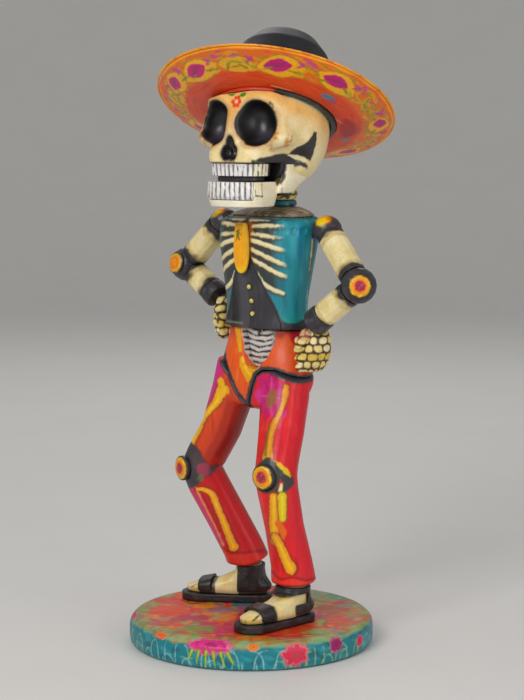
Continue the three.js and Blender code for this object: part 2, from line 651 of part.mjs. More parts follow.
const CROWN = [[40.3, 0], [37.9, 8], [35.8, 18], [32.8, 29], [27.6, 40], [19.4, 49.4], [10, 54.6], [0, 56.4]];
function crown() {
  const foot = brimAt + BRIM_THICK + 1;
  const outer = CROWN.map(([radius, height]) => [radius, foot + height]);
  const inner = CROWN.map(([radius, height], i) => [
    i === CROWN.length - 1 ? 0 : radius - 2,
    foot + (i === 0 ? 0 : height - Math.min(1.8, height * 0.04)),
  ]);
  return turned([...inner.reverse(), ...outer], 40);
}
named("hat_crown", crown(), PAINTS.black, hat);

const cord = new THREE.TorusGeometry(BRIM_RADIUS + GAP + 0.9, 0.9, 5, 44);
named("hat_rim_cord", cord.translate(0, 0, brimAt + BRIM_RISE + BRIM_THICK / 2), PAINTS.gold, hat);

export default figure;
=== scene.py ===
"""The looks of a papier-mache catrin.

Each visible CAD piece is rebuilt as a fine mesh with its facets and corners softened, like pressed
paper, and painted: brush lines, patches and spots are given in millimetres on the figure,
and become one colour per vertex. The materials add brushwork, small chips, gloss and the lumps of
the paper.
"""

import math

import bmesh
import bpy
import numpy as np
from mathutils import Matrix, Vector
from mathutils.bvhtree import BVHTree


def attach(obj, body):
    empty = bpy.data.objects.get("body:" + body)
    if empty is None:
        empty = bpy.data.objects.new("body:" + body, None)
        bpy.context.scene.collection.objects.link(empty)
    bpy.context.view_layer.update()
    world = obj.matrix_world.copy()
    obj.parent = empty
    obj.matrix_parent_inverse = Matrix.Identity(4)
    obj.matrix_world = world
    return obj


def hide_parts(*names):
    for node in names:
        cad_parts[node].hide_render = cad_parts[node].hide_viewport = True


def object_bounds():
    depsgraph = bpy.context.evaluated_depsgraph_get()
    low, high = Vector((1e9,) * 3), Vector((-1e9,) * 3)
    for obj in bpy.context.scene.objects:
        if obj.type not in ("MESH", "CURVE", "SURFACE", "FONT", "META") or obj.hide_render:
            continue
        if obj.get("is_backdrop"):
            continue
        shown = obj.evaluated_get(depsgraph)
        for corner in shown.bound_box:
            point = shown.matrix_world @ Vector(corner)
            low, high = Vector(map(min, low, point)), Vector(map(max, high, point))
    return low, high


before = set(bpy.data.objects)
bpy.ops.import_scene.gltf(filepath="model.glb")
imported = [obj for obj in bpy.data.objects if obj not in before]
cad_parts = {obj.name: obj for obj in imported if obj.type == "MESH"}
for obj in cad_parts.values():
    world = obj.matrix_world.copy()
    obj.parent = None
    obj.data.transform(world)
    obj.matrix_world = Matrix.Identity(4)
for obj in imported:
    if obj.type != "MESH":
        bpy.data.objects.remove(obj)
CAD_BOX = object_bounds()
MM = 0.001

# The paints that are used on several pieces, as sRGB.
BLACK = "#19171b"
CREAM = "#ead9a4"
YELLOW = "#efb52c"
TEAL = "#2b8794"
BROWN = "#7a4a1c"

# The head's frame stands on the neck, turned a little, and the hat's frame stands in it.
NECK = np.array([0.0, 28.0, 270.0])
HEAD_TURN = math.radians(7)
SKULL_IN_HEAD = np.array([0.0, -14.0, 52.0])
HAT_AXIS = Vector((-0.132, 0.442, 0.887)).normalized()
HEAD = np.array(Matrix.Rotation(HEAD_TURN, 3, "Z"))
HAT = HEAD @ np.array(Vector((0, 0, 1)).rotation_difference(HAT_AXIS).to_matrix())
HAT_AT = NECK + HEAD @ np.array([1.45, -12.85, 52.0])

# Parts of the cranium that keep the CAD's faces: what the hat covers, measured along the hat's
# axis, and in the head's frame the peg's hole and the cut behind the teeth.
COVERED_ABOVE, HOLE_RADIUS, CUT_TOP, CUT_FRONT = 2.1, 4.6, 29.4, -29

# The base, and the height where the soles start.
BASE_RADIUS = 76.5
FOOT_LEVEL = 17.3

# The way that the figure's front left faces, where its legs' painted bones are.
DIAGONAL = 0.7071
FRONT_LEFT = np.array([DIAGONAL, -DIAGONAL, 0.0])

# Only points this near to the smooth skull, or to the tube of the torso or hips, are moved onto it.
SKULL_REACH, TUBE_REACH = 2.6, 0.9
TUBE_SIDES = 160

# The camera, in metres and degrees, and the floor's flat part and bend.
CAMERA_DISTANCE, CAMERA_HEIGHT, CAMERA_PAN, CAMERA_PITCH, LENS = 1.2, 0.3252, 0.321, 6.76, 100.27
FLAT_FLOOR, FLOOR_BEND, FLOOR_EDGE, FLOOR_SIDES = 2.2, 1.8, 4.0, 72
LIGHT_AIM = (0, 0, 0.2)


# ---- Small sums on arrays of points, in millimetres.


def colour(code):
    """A paint code as linear red, green and blue."""
    part = np.array([int(code[i : i + 2], 16) for i in (1, 3, 5)]) / 255
    return np.where(part <= 0.04045, part / 12.92, ((part + 0.055) / 1.055) ** 2.4)


def step(value, low, high):
    """0 below low, 1 above high and smooth between. With low above high it falls."""
    part = np.clip((np.asarray(value, float) - low) / (high - low), 0, 1)
    return part * part * (3 - 2 * part)


def ripple(at, size, seed=0):
    """Smooth noise from about -1 to 1, about size mm across, which may differ by axis."""
    scaled = np.asarray(at) / np.asarray(size, float)
    total = np.zeros(len(scaled))
    for k in range(7):
        turn = np.array([math.sin(a * (k + 1) + b * seed + c) for a, b, c in
                         ((1.7, 2.3, 0.4), (2.9, 1.1, 1.3), (4.1, 3.7, 2.2))])
        turn *= (2.4 + 0.9 * k) / np.linalg.norm(turn)
        total += np.sin(scaled @ turn + 1.9 * k + seed)
    return total / 3.2


def curved(points, widths=1.0, steps=5):
    """A smooth line through points, with its width at each new point."""
    points = np.array(points, float)
    widths = np.interp(np.linspace(0, 1, len(points)), np.linspace(0, 1, np.size(widths)),
                       np.ravel(widths))
    if len(points) < 3:
        return points, widths
    ends = np.vstack([2 * points[0] - points[1], points, 2 * points[-1] - points[-2]])
    path, wide = [], []
    for i in range(len(points) - 1):
        a, b, c, d = ends[i : i + 4]
        for t in np.arange(steps) / steps:
            bend = 2 * a - 5 * b + 4 * c - d + t * (3 * (b - c) + d - a)
            path.append(b + 0.5 * t * (c - a + t * bend))
            wide.append(widths[i] + t * (widths[i + 1] - widths[i]))
    return np.array(path + [points[-1]]), np.array(wide + [widths[-1]])


def past_line(at, points, widths, steps=5):
    """How far each point is outside a line of varying width, negative inside."""
    path, wide = curved(points, widths, steps)
    least = np.full(len(at), 1e9)
    for a, b, wa, wb in zip(path[:-1], path[1:], wide[:-1], wide[1:]):
        run = b - a
        t = np.clip((at - a) @ run / max(run @ run, 1e-9), 0, 1)
        gap = np.linalg.norm(at - a - t[:, None] * run, axis=1) - 0.5 * (wa + (wb - wa) * t)
        least = np.minimum(least, gap)
    return least


def past_outline(flat, corners):
    """How far each 2-D point is outside a polygon, negative inside."""
    least = np.full(len(flat), 1e18)
    sign = np.ones(len(flat))
    for a, b in zip(corners, np.roll(corners, -1, 0)):
        edge, off = b - a, flat - a
        near = off - edge * np.clip(off @ edge / (edge @ edge), 0, 1)[:, None]
        least = np.minimum(least, (near**2).sum(1))
        rules = np.array([flat[:, 1] >= a[1], flat[:, 1] < b[1],
                          edge[0] * off[:, 1] > edge[1] * off[:, 0]])
        sign[rules.all(0) | ~rules.any(0)] *= -1
    return sign * np.sqrt(least)


def bulge(value, boxy):
    """A sine or cosine drawn towards a square: 2 keeps the circle, more makes it boxier."""
    return np.sign(value) * np.abs(value) ** (2 / boxy)


def mirrored(points):
    return [(-x, y, z) for x, y, z in points]


BOTH_HALVES = (lambda points: points, mirrored)


# ---- Fine meshes from the CAD pieces.


def points_of(mesh):
    flat = np.empty(len(mesh.vertices) * 3, np.float32)
    mesh.vertices.foreach_get("co", flat)
    return flat.reshape(-1, 3).astype(float) / MM


def set_points(mesh, at):
    mesh.vertices.foreach_set("co", (at * MM).astype(np.float32).ravel())
    mesh.update()


def applied(piece):
    """Bakes the piece's modifiers into its mesh."""
    final = piece.evaluated_get(bpy.context.evaluated_depsgraph_get())
    done = bpy.data.meshes.new_from_object(final)
    piece.modifiers.clear()
    piece.data = done
    done.name = piece.name


def fine_copy(node, voxel, rounds, shape=None):
    """A fine mesh of a CAD node. shape moves its points before the corners are softened."""
    mesh = bpy.data.meshes.new(node + "_painted")
    body = bmesh.new()
    body.from_mesh(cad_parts[node].data)
    bmesh.ops.remove_doubles(body, verts=body.verts, dist=1e-6)
    body.to_mesh(mesh)
    body.free()
    piece = bpy.data.objects.new(node + "_painted", mesh)
    bpy.context.scene.collection.objects.link(piece)
    remesh = piece.modifiers.new("fine", "REMESH")
    remesh.mode, remesh.voxel_size = "VOXEL", voxel * MM
    applied(piece)
    if shape:
        set_points(piece.data, shape(points_of(piece.data)))
    soft = piece.modifiers.new("soft", "SMOOTH")
    soft.factor, soft.iterations = 0.5, rounds
    applied(piece)
    piece.data.shade_smooth()
    return piece


def true_round(sides, centre=(0, 0, 0), axes=np.eye(3)):
    """Moves a turned piece's facets out to a true circle about its axis."""
    half = math.pi / sides

    def shape(at):
        off = (at - centre) @ axes
        part = np.mod(np.arctan2(off[:, 1], off[:, 0]), 2 * half) - half
        off[:, :2] *= (np.cos(part) / math.cos(half))[:, None]
        return off @ axes.T + centre

    return shape


def onto_loft(rings, boxy):
    """Moves points that are near a smooth tube through rings (x, y, z, wide, deep) onto it."""
    rings = np.array(rings, float)
    path, _ = curved(rings[:, :3], steps=12)
    size, _ = curved(np.column_stack([rings[:, 3:], np.zeros(len(rings))]), steps=12)
    turn = np.linspace(0, 2 * math.pi, TUBE_SIDES, endpoint=False)
    tube = np.stack([
        path[:, :1] + size[:, :1] * bulge(np.sin(turn), boxy),
        path[:, 1:2] - size[:, 1:2] * bulge(np.cos(turn), boxy),
        np.repeat(path[:, 2:3], TUBE_SIDES, 1),
    ], axis=2)

    def shape(at):
        quads = [(r + c, r + (c + 1) % TUBE_SIDES, r + TUBE_SIDES + (c + 1) % TUBE_SIDES,
                  r + TUBE_SIDES + c)
                 for r in range(0, TUBE_SIDES * (len(path) - 1),
                                TUBE_SIDES) for c in range(TUBE_SIDES)]
        tree = BVHTree.FromPolygons(tube.reshape(-1, 3).tolist(), quads)
        low, high = path[:, 2].min() + 0.5, path[:, 2].max() - 0.5
        for i in np.nonzero((at[:, 2] > low) & (at[:, 2] < high))[0]:
            near, _, _, _ = tree.find_nearest(at[i].tolist(), TUBE_REACH)
            if near is not None:
                at[i] = near
        return at

    return shape


# The skull's own shape: a blend of rounded lumps with hollows pressed in. Each has its centre (to
# the side, forward, up), its half sizes, a corner radius if it is a rounded box, and its blend.
LUMPS = [
    ((0, 0, 0), (35.4, 35.6, 38), None, 0),
    ((0, -3, 2), (35.2, 33.8, 36), None, 4),
    ((0, -5, -9), (32, 34, 31.5), None, 5),
    ((0, 15, -1.5), (29.5, 18.3, 12), 10, 8),
    ((0, 24, -21), (19, 16.4, 10.5), 8, 8),
    *(((s * 26, 23, -8), (7.5, 9.5, 5.5), None, 6) for s in (1, -1)),
    *(((s * 12, 28.5, 15), (11, 5.5, 4.5), None, 6) for s in (1, -1)),
    *(((s * 19.5, 22, 13.5), (6, 7, 6), None, 6) for s in (1, -1)),
    ((0, 33.5, -5), (5.5, 5.6, 13), None, 5),
]
SOCKETS = [((s * 17, 37, -1), (11.4, 15, 11.2), None, 3) for s in (1, -1)]
SOCKETS += [((s * 15.6, 37, 3.6), (10.4, 15, 10.2), None, 3) for s in (1, -1)]
NOSE = [((s * 2.2, 42, -16.7), (3.7, 7.5, 4.7), None, 1.5) for s in (1, -1)]
NOSE.append(((0, 42, -13), (3.2, 6.5, 6.5), None, 1.5))
TEMPLES = [((s * 42, 15, 6), (8, 15, 14), None, 6) for s in (1, -1)]
CHEEKS = [((s * 32, 16, -23), (10, 15, 9), None, 5) for s in (1, -1)]


def away(p, lump):
    """Roughly the distance from points to a lump's surface, negative inside."""
    centre, size, corner, _ = lump
    off, size = p - np.array(centre, float), np.array(size, float)
    if corner is None:
        near = np.linalg.norm(off / size, axis=1)
        return near * (near - 1) / np.maximum(np.linalg.norm(off / size**2, axis=1), 1e-9)
    past = np.abs(off) - size + corner
    return np.linalg.norm(np.maximum(past, 0), axis=1) + np.minimum(past.max(1), 0) - corner


def smooth_least(a, b, blend):
    near = np.maximum(blend - np.abs(a - b), 0) / blend if blend > 0 else 0
    return np.minimum(a, b) - near * near * blend * 0.25


def skull_field(p):
    bone = np.full(len(p), 1e3)
    for lump in LUMPS:
        bone = smooth_least(bone, away(p, lump), lump[3])
    for hollow in SOCKETS + NOSE + TEMPLES + CHEEKS:
        bone = -smooth_least(-bone, away(p, hollow), hollow[3])
    return bone


def in_head(at):
    return (at - NECK) @ HEAD


def in_skull(at):
    off = in_head(at) - SKULL_IN_HEAD
    return off * [1, -1, 1]


def onto_skull(at):
    """Moves the points of the cranium's outside onto the smooth skull, and leaves its cut faces."""
    head = in_head(at)
    height = (at - HAT_AT) @ HAT[:, 2]
    free = (height < COVERED_ABOVE) & (np.hypot(head[:, 0], head[:, 1]) > HOLE_RADIUS)
    free &= ~((head[:, 2] < CUT_TOP) & (head[:, 1] < CUT_FRONT))
    p = in_skull(at)
    for _ in range(3):
        field = skull_field(p)
        slope = np.stack([(skull_field(p + 0.05 * axis) - field) / 0.05 for axis in np.eye(3)], 1)
        move = field[:, None] * slope / np.maximum((slope**2).sum(1), 0.3)[:, None]
        near = free & (np.abs(field) < SKULL_REACH)
        p[near] -= move[near]
    return (p * [1, -1, 1] + SKULL_IN_HEAD) @ HEAD.T + NECK


# ---- Painting.


class Paint:
    """The colours of one piece, one per vertex, laid on in millimetres."""

    def __init__(self, piece, ground, local=None):
        mesh = piece.data
        flat = np.empty(len(mesh.vertices) * 3, np.float32)
        mesh.vertex_normals.foreach_get("vector", flat)
        self.piece, self.facing = piece, flat.reshape(-1, 3).astype(float)
        self.figure = points_of(mesh)
        self.at = local(self.figure) if local else self.figure
        self.rgb = np.tile(colour(ground), (len(self.at), 1))
        self.flat = False
        self.seen = step(self.facing @ FRONT_LEFT, -0.12, 0.1)
        # A brush is never quite steady.
        self.waver = 0.22 * ripple(self.figure, 3.5, 5) + 0.12 * ripple(self.figure, 1.3, 8)

    def lay(self, mask, code, strength=1.0):
        self.rgb += (np.clip(mask, 0, 1) * strength)[:, None] * (colour(code) - self.rgb)

    def fill(self, gap, code, soft=0.7, strength=1.0, where=1.0):
        """Paints where gap, the distance outside an outline, is below 0."""
        self.lay(step(gap + self.waver, soft / 2, -soft / 2) * where, code, strength)

    def line(self, points, widths, code, soft=0.7, strength=1.0, where=1.0):
        at, points = self.at, np.array(points, float)
        if self.flat:
            # As seen from the front left, and only on what faces that way.
            at, points = (q - (q @ FRONT_LEFT)[:, None] * FRONT_LEFT for q in (at, points))
            where = where * self.seen
        self.fill(past_line(at, points, widths), code, soft, strength, where)

    def spot(self, centre, radius, code, soft=0.7, strength=1.0, squeeze=(1, 1, 1)):
        off = (self.at - np.array(centre, float)) / np.array(squeeze, float)
        self.fill(np.linalg.norm(off, axis=1) - radius, code, soft, strength)

    def patch(self, corners, code, soft=0.7, depth=5.0, strength=1.0):
        """A filled outline, on what is within depth mm of its plane."""
        corners = np.array(corners, float)
        if self.flat:
            across = np.column_stack([FRONT_LEFT[[0, 0, 2]], [0, 0, 1]])
            at, outline, where = self.at @ across, corners @ across, self.seen
        else:
            middle = corners.mean(0)
            _, _, axes = np.linalg.svd(corners - middle)
            at, outline = (self.at - middle) @ axes.T, (corners - middle) @ axes.T
            where = np.abs(at[:, 2]) < depth
        self.fill(past_outline(at[:, :2], outline[:, :2]), code, soft, strength, where)

    def vary(self, size, seed, low, high, code, strength):
        """Clouds or streaks in the piece's own frame, size mm across."""
        self.lay(step(ripple(self.at, size, seed), low, high), code, strength)

    def mottle(self, size, code, strength, low, high, seed=1):
        """Clouds in the figure's frame."""
        self.lay(step(ripple(self.figure, size, seed), low, high), code, strength)

    def bone(self, points, widths, fill=YELLOW, edge=BROWN, light="#ffd860"):
        """A painted bone: a dark outline, a body and a lighter middle."""
        widths = np.array(widths, float)
        self.line(points, widths + 2.2, edge, soft=1.6, strength=0.75)
        self.line(points, widths, fill)
        self.line(points, widths * 0.35, light, soft=1.2, strength=0.6)

    def done(self):
        mesh = self.piece.data
        made = mesh.attributes.new("paint", "FLOAT_COLOR", "POINT")
        colours = np.column_stack([np.clip(self.rgb, 0, 1), np.ones(len(self.rgb))])
        made.data.foreach_set("color", colours.astype(np.float32).ravel())
        return self.piece


def painted(ground, local=None):
    """Makes a painter of a piece from a function that lays paint over the ground."""

    def wrap(brushwork):
        def painter(piece):
            p = Paint(piece, ground, local)
            brushwork(p)
            return p.done()

        return painter

    return wrap


def mottled(ground, *clouds, local=None):
    """A painter that only lays clouds of other colours on a ground."""

    @painted(ground, local)
    def paint(p):
        for cloud in clouds:
            p.mottle(*cloud)

    return paint


# ---- Materials.


class Nodes:
    """A material with its Principled shader and short ways to add nodes."""

    def __init__(self, name):
        self.material = bpy.data.materials.new(name)
        self.material.use_nodes = True
        self.tree = self.material.node_tree
        self.shader = self.tree.nodes["Principled BSDF"]
        self.place = self.add("ShaderNodeTexCoord").outputs["Object"]

    def plug(self, socket, value):
        """Links a socket to another node's output, or sets its value."""
        if isinstance(value, bpy.types.NodeSocket):
            self.tree.links.new(value, socket)
        else:
            socket.default_value = value

    def add(self, kind, **sockets):
        node = self.tree.nodes.new(kind)
        for name, value in sockets.items():
            self.plug(node.inputs[name.replace("_", " ")], value)
        return node

    def noise(self, across_mm, detail=3.0, stretch=(1, 1, 1)):
        """Noise with features about across_mm wide, drawn out along an axis by stretch."""
        scaled = self.add("ShaderNodeMapping", Vector=self.place, Scale=[1 / s for s in stretch])
        return self.add("ShaderNodeTexNoise", Vector=scaled.outputs[0],
                        Scale=0.6 / (across_mm * MM), Detail=detail, Roughness=0.55).outputs["Fac"]

    def span(self, value, low, high, to_low, to_high):
        node = self.add("ShaderNodeMapRange", Value=value, From_Min=low, From_Max=high,
                        To_Min=to_low, To_Max=to_high)
        return node.outputs[0]

    def mix(self, factor, a, b):
        node = self.tree.nodes.new("ShaderNodeMix")
        node.data_type = "RGBA"
        for index, value in ((0, factor), (6, a), (7, b)):
            self.plug(node.inputs[index], value)
        return node.outputs[2]

    def bumps(self, *layers):
        """Bump from (height, depth in mm) layers, one on another."""
        normal = None
        for height, depth in layers:
            node = self.add("ShaderNodeBump", Height=height, Strength=1.0, Distance=depth * MM)
            if normal is not None:
                self.tree.links.new(normal, node.inputs["Normal"])
            normal = node.outputs[0]
        self.tree.links.new(normal, self.shader.inputs["Normal"])

    def set(self, **sockets):
        for name, value in sockets.items():
            self.plug(self.shader.inputs[name.replace("_", " ")], value)


def rgba(code):
    return (*colour(code), 1.0)


def enamel(name, rough=0.42, coat=0.2, lumps=0.2, chips=0.5, under="#d8cfb8", brush=(1, 1, 5),
           shine=0.45):
    """Hand paint on papier-mache: the colours under brushwork, tiny chips, grime and varnish."""
    n = Nodes(name)
    paint = n.add("ShaderNodeAttribute")
    paint.attribute_name = "paint"
    streaks = n.noise(0.9, 2.0, brush)
    clouds = n.noise(14, 3.0)
    grain = n.noise(0.5, 2.0)
    shade = n.add("ShaderNodeMath", Value=n.span(streaks, 0.3, 0.7, 0.94, 1.06))
    shade.operation = "MULTIPLY"
    n.tree.links.new(n.span(clouds, 0.3, 0.7, 0.93, 1.05), shade.inputs[1])
    tone = n.add("ShaderNodeHueSaturation", Color=paint.outputs["Color"], Value=shade.outputs[0],
                 Saturation=1.08)
    worn = n.span(n.noise(1.6, 5.0), 0.735, 0.76, 0.0, chips)
    grimy = n.span(n.noise(5, 4.0), 0.58, 0.8, 0.0, 0.14)
    dirty = n.mix(grimy, tone.outputs[0], rgba("#3a2c20"))
    n.set(Base_Color=n.mix(worn, dirty, rgba(under)), Coat_Weight=coat, Coat_Roughness=0.18,
          Roughness=n.span(clouds, 0.3, 0.7, rough - 0.07, rough + 0.12), Specular_IOR_Level=shine)
    n.bumps((n.noise(7, 3.0), lumps), (streaks, 0.035), (grain, 0.02))
    return n.material


def steel_wire():
    n = Nodes("steel_wire")
    rust = n.span(n.noise(3, 4.0), 0.5, 0.75, 0.0, 0.7)
    n.set(Base_Color=n.mix(rust, rgba("#8b8e91"), rgba("#6a4630")),
          Metallic=n.span(rust, 0, 0.7, 0.95, 0.3),
          Roughness=n.span(n.noise(1.2), 0.3, 0.7, 0.3, 0.55))
    n.bumps((n.noise(0.8), 0.03))
    return n.material


def turned_wood():
    n = Nodes("dowel_wood")
    grain = n.noise(0.7, 4.0, (1, 1, 14))
    n.set(Base_Color=n.mix(n.span(grain, 0.3, 0.7, 0, 1), rgba("#8a5f36"), rgba("#c99f6b")),
          Roughness=n.span(grain, 0.3, 0.7, 0.55, 0.8))
    n.bumps((grain, 0.06))
    return n.material


def bare_paper():
    n = Nodes("pressed_paper")
    fibre, blots = n.noise(0.6, 5.0, (1, 3, 1)), n.noise(12, 4.0)
    n.set(Base_Color=n.mix(n.span(blots, 0.35, 0.65, 0, 1), rgba("#cbbd9a"), rgba("#a3957a")),
          Roughness=n.span(fibre, 0.3, 0.7, 0.75, 0.95))
    n.bumps((blots, 0.5), (fibre, 0.08))
    return n.material


# ---- The base: streaked flowers on top, teal with pale grasses and flowers round the side.


@painted("#a8552e")
def base_paint(p):
    x, y, z = p.at.T
    along, across = (x + y) * DIAGONAL, (x - y) * DIAGONAL
    streak = np.column_stack([along, across, np.zeros(len(x))])
    # Long streaks of the main colours all over.
    for size, seed, code, low, strength in (
        ((15, 24, 1), 2, "#e0442a", -0.3, 0.95),
        ((13, 22, 1), 7, "#e2762a", 0.1, 0.9),
        ((12, 20, 1), 11, "#7f9a44", 0.3, 0.85),
        ((12, 20, 1), 17, "#d02f5c", 0.3, 0.9),
        ((16, 12, 1), 23, "#9a9a62", 0.5, 0.6),
        ((9, 12, 1), 29, "#f0913a", 0.45, 0.6),
        ((12, 7, 1), 31, "#a8381e", 0.5, 0.45),
    ):
        p.lay(step(ripple(streak, size, seed), low, low + 0.35), code, strength)
    out = np.hypot(x, y)
    p.lay(step(out + 3 * ripple(p.at, 16, 4), 60, 71), "#6f9150", 0.65)
    # Blooms dragged out along the brush.
    blooms = (
        (12, -44, 15, 6, "#c92a5a"), (-16, -38, 12, 4, "#b8244c"), (-34, -34, 14, 6, "#dc4a2e"),
        (-58, -16, 9, 5, "#d83c3c"), (-31, -11, 9, 3, "#ee8a2a"), (-15, -9, 12, 3.5, "#8c6274"),
        (-60, 2, 8, 4, "#e8602c"), (-44, -28, 12, 3.5, "#e0482c"), (6, -52, 14, 3, "#7a8c34"),
        (-19, 12, 15, 4, "#2a6f8c"), (56, 26, 14, 6, "#cf4c30"), (50, -7, 12, 7, "#c8402c"),
        (49, -25, 14, 5, "#cf4632"), (32, 40, 14, 6, "#bc5a38"), (36, 58, 13, 4, "#96805a"),
        (6, 64, 14, 5, "#5f8a62"), (-30, 50, 15, 7, "#cc3f34"), (-55, 30, 12, 6, "#d8662e"),
        (62, -6, 8, 3, "#7a9a52"), (-8, 40, 14, 5, "#c33258"),
    )
    for cx, cy, long, wide, code in blooms:
        u, v = along - (cx + cy) * DIAGONAL, across - (cx - cy) * DIAGONAL
        edge = 0.3 * ripple(streak, (6, 9, 1), 5)
        p.lay(step(np.hypot(u / long, v / (2.4 * wide)) + edge, 1.1, 0.7) * (z > 15), code, 0.9)
    p.lay(step(ripple(streak, (8, 3, 1), 41), 0.5, 0.9), "#f6dcae", 0.14)
    p.lay(step(ripple(streak, (7, 3, 1), 47), 0.5, 0.9), "#7a2a1c", 0.16)
    # The side laid flat: along the arc, and up and then in over the rounded edge.
    rise = z + np.maximum(BASE_RADIUS - 2.4 - out, 0) * (z > 8)
    flat = np.column_stack([np.arctan2(y, x) * BASE_RADIUS, rise, np.zeros(len(x))])
    side = step(z + 1.5 * ripple(p.at, 9, 3), 15.6, 13.6) * (out > 60)
    p.lay(side, "#247c86")
    p.lay(side * step(ripple(p.at, (9, 9, 5), 9), 0, 0.8), "#3f98a4", 0.7)
    p.lay(side * step(ripple(p.at, (12, 12, 6), 19), 0.3, 0.9), "#155d6c", 0.7)
    p.lay(step(np.abs(z - 15.2) + 1.2 * ripple(p.at, 8, 6), 1.6, 0.2) * (out > 66), "#8fb37e", 0.6)

    def on_side(degrees, height):
        return np.array([math.radians(degrees) * BASE_RADIUS, height, 0.0])

    def side_line(points, widths, code, strength=1.0):
        gap = past_line(flat, [on_side(*q) for q in points], widths)
        p.lay(step(gap + 0.6 * p.waver, 0.35, -0.35) * (out > 60), code, strength)

    # Curved blades of pale grass all the way round, greener in some stretches.
    for k in range(120):
        foot = -180 + k * 3 + 1.2 * math.sin(k * 2.4)
        lean = 6 * math.sin(k * 1.7 + 0.6)
        tall = 9.5 + 3.5 * math.sin(k * 3.1)
        green = math.sin(math.radians(foot) * 3 + 2.0) > 0.35
        paint = "#a9c77a" if green else "#9fc8c2"
        side_line([(foot, 1.5), (foot + lean * 0.12, tall * 0.6), (foot + lean * 0.45, tall * 0.9),
                   (foot + lean, tall)], (0.8, 0.5, 0.25), paint, 0.75)
    blossoms = (
        (-64, 15.5, 13.5, 6.4, "#e04a88", "#a7246a"), (-25, 9, 8.4, 6.6, "#dd4560", "#ab5048"),
        (-3, 11, 5.2, 4.8, "#9c2f66", "#7b2456"), (15, 8.5, 3.8, 3.6, "#e23a68", "#b02050"),
        (-92, 16, 5, 2.4, "#ee7a4c", "#e0562c"), (-132, 16.3, 9, 2.2, "#d2467c", "#b02a60"),
        (-44, 14.8, 3.4, 2.4, "#e88a34", "#c86424"), (42, 11, 7, 5, "#d8456c", "#a72a5c"),
        (75, 9, 5, 4.6, "#e8603c", "#b5402c"), (104, 12, 8, 5, "#cf3f86", "#8e2a6a"),
        (138, 9, 6, 5, "#e2506a", "#a82f50"), (166, 12, 8, 4.6, "#ec7340", "#b8482a"),
        (-160, 10, 6.4, 5, "#d43f78", "#97295e"),
    )
    # Green spikes stand out round the blossoms that are clear of the top edge.
    for degrees, height, wide, tall, _, _ in blossoms:
        if height >= 13:
            continue
        for k in range(9):
            turn = k * 2 * math.pi / 9 + degrees
            reach = [math.cos(turn) * wide * 1.25, math.sin(turn) * tall * 1.15, 0]
            arc, up, _ = on_side(degrees, height) + reach
            tip = (math.degrees(arc / BASE_RADIUS), max(up, 1.5))
            side_line([(degrees, height), tip], (1.6, 0.7), "#8fae4c", 0.8)
    for degrees, height, wide, tall, code, heart in blossoms:
        u, v = (flat - on_side(degrees, height))[:, :2].T
        turn = np.arctan2(v, u)
        frill = 0.09 * np.cos(turn * 7 + degrees)
        far = np.hypot(u / wide, v / tall) + frill + 0.1 * ripple(flat, 2, 3)
        keep = (out > 58) & (z > 0.5)
        p.lay(step(far, 1.14, 0.88) * keep, code)
        p.lay(step(np.abs(far - 0.62), 0.16, 0.02) * keep, heart, 0.5)
        p.lay(step(far, 0.34, 0.18) * keep, heart, 0.9)
        p.lay(step(np.abs(far - 0.9), 0.1, 0.0) * keep, "#f4a0b4", 0.4)
    # Lime petals fan out under the large blossom.
    for k, reach in enumerate((10, 12.5, 13.5, 13.5, 12.5, 11)):
        start, end = -72.5 + 3.4 * k, -75 + 4.5 * k
        petal = [(start, 11), ((start + end) / 2, 7), (end, 15 - reach)]
        side_line(petal, (2.6, 0.7), "#5f7d28", 0.9)
        side_line(petal, (1.4, 0.4), "#b9c83e", 0.9)
    p.lay(z < 0.4, "#6b5a44")


# ---- Feet and sandals.

ANKLES = {"right": ((-21.5, 20.8), (-0.825, -0.565)), "left": ((36.5, 1.0), (-0.09, -0.996))}


def foot_frame(side):
    """Points in a foot's own frame: to the side, ahead towards the toes, and up from the base."""
    (ax, ay), (tx, ty) = ANKLES[side]

    def local(at):
        off = at[:, :2] - (ax, ay)
        return np.column_stack([off @ (-ty, tx), off @ (tx, ty), at[:, 2] - FOOT_LEVEL])

    return local


def foot_paint(side):
    @painted(CREAM, foot_frame(side))
    def paint(p):
        _, ahead, up = p.at.T
        p.mottle(9, "#e6c04e", 0.55, 0.0, 0.9, 3)
        # Painted shade: brown towards the sole.
        p.lay(step(up, 9, 5.4), BROWN, 0.55)
        for k in (-6.2, -2.2, 1.9, 5.8):
            p.line([(k * 0.8, 26, 15), (k, 34, 10), (k * 1.05, 44, 5)], 0.9, "#3a2616", 0.8, 0.9)
            p.line([(k * 0.5, 8, 19), (k * 0.75, 24, 14)], 0.8, "#8a6a3a", 1.2, 0.55)
        p.lay(step(np.abs(ahead - 26.5) + 0.6 * ripple(p.at, 5, 7), 6, 4.6) * step(up, 3, 5), BLACK,
              0.95)
        p.lay(step(ahead + 0.8 * ripple(p.at, 5, 7), 7, 5) * step(up, 13, 11), BLACK, 0.9)
        p.lay(step(up + 1.5 * ripple(p.at, 6, 2), 20.5, 22.5), "#8d857a", 0.8)

    return paint


@painted("#1d1a1c")
def sandal_paint(p):
    p.mottle(12, "#3b3438", 0.55, 0.2, 1.0, 2)
    p.lay(step(p.at[:, 2], 19.5, 17.4), "#120d0c", 0.8)
    p.lay(step(ripple(p.figure, (4, 4, 1.4), 6), 0.75, 0.95), "#6a5c50", 0.25)


# ---- Trousers.

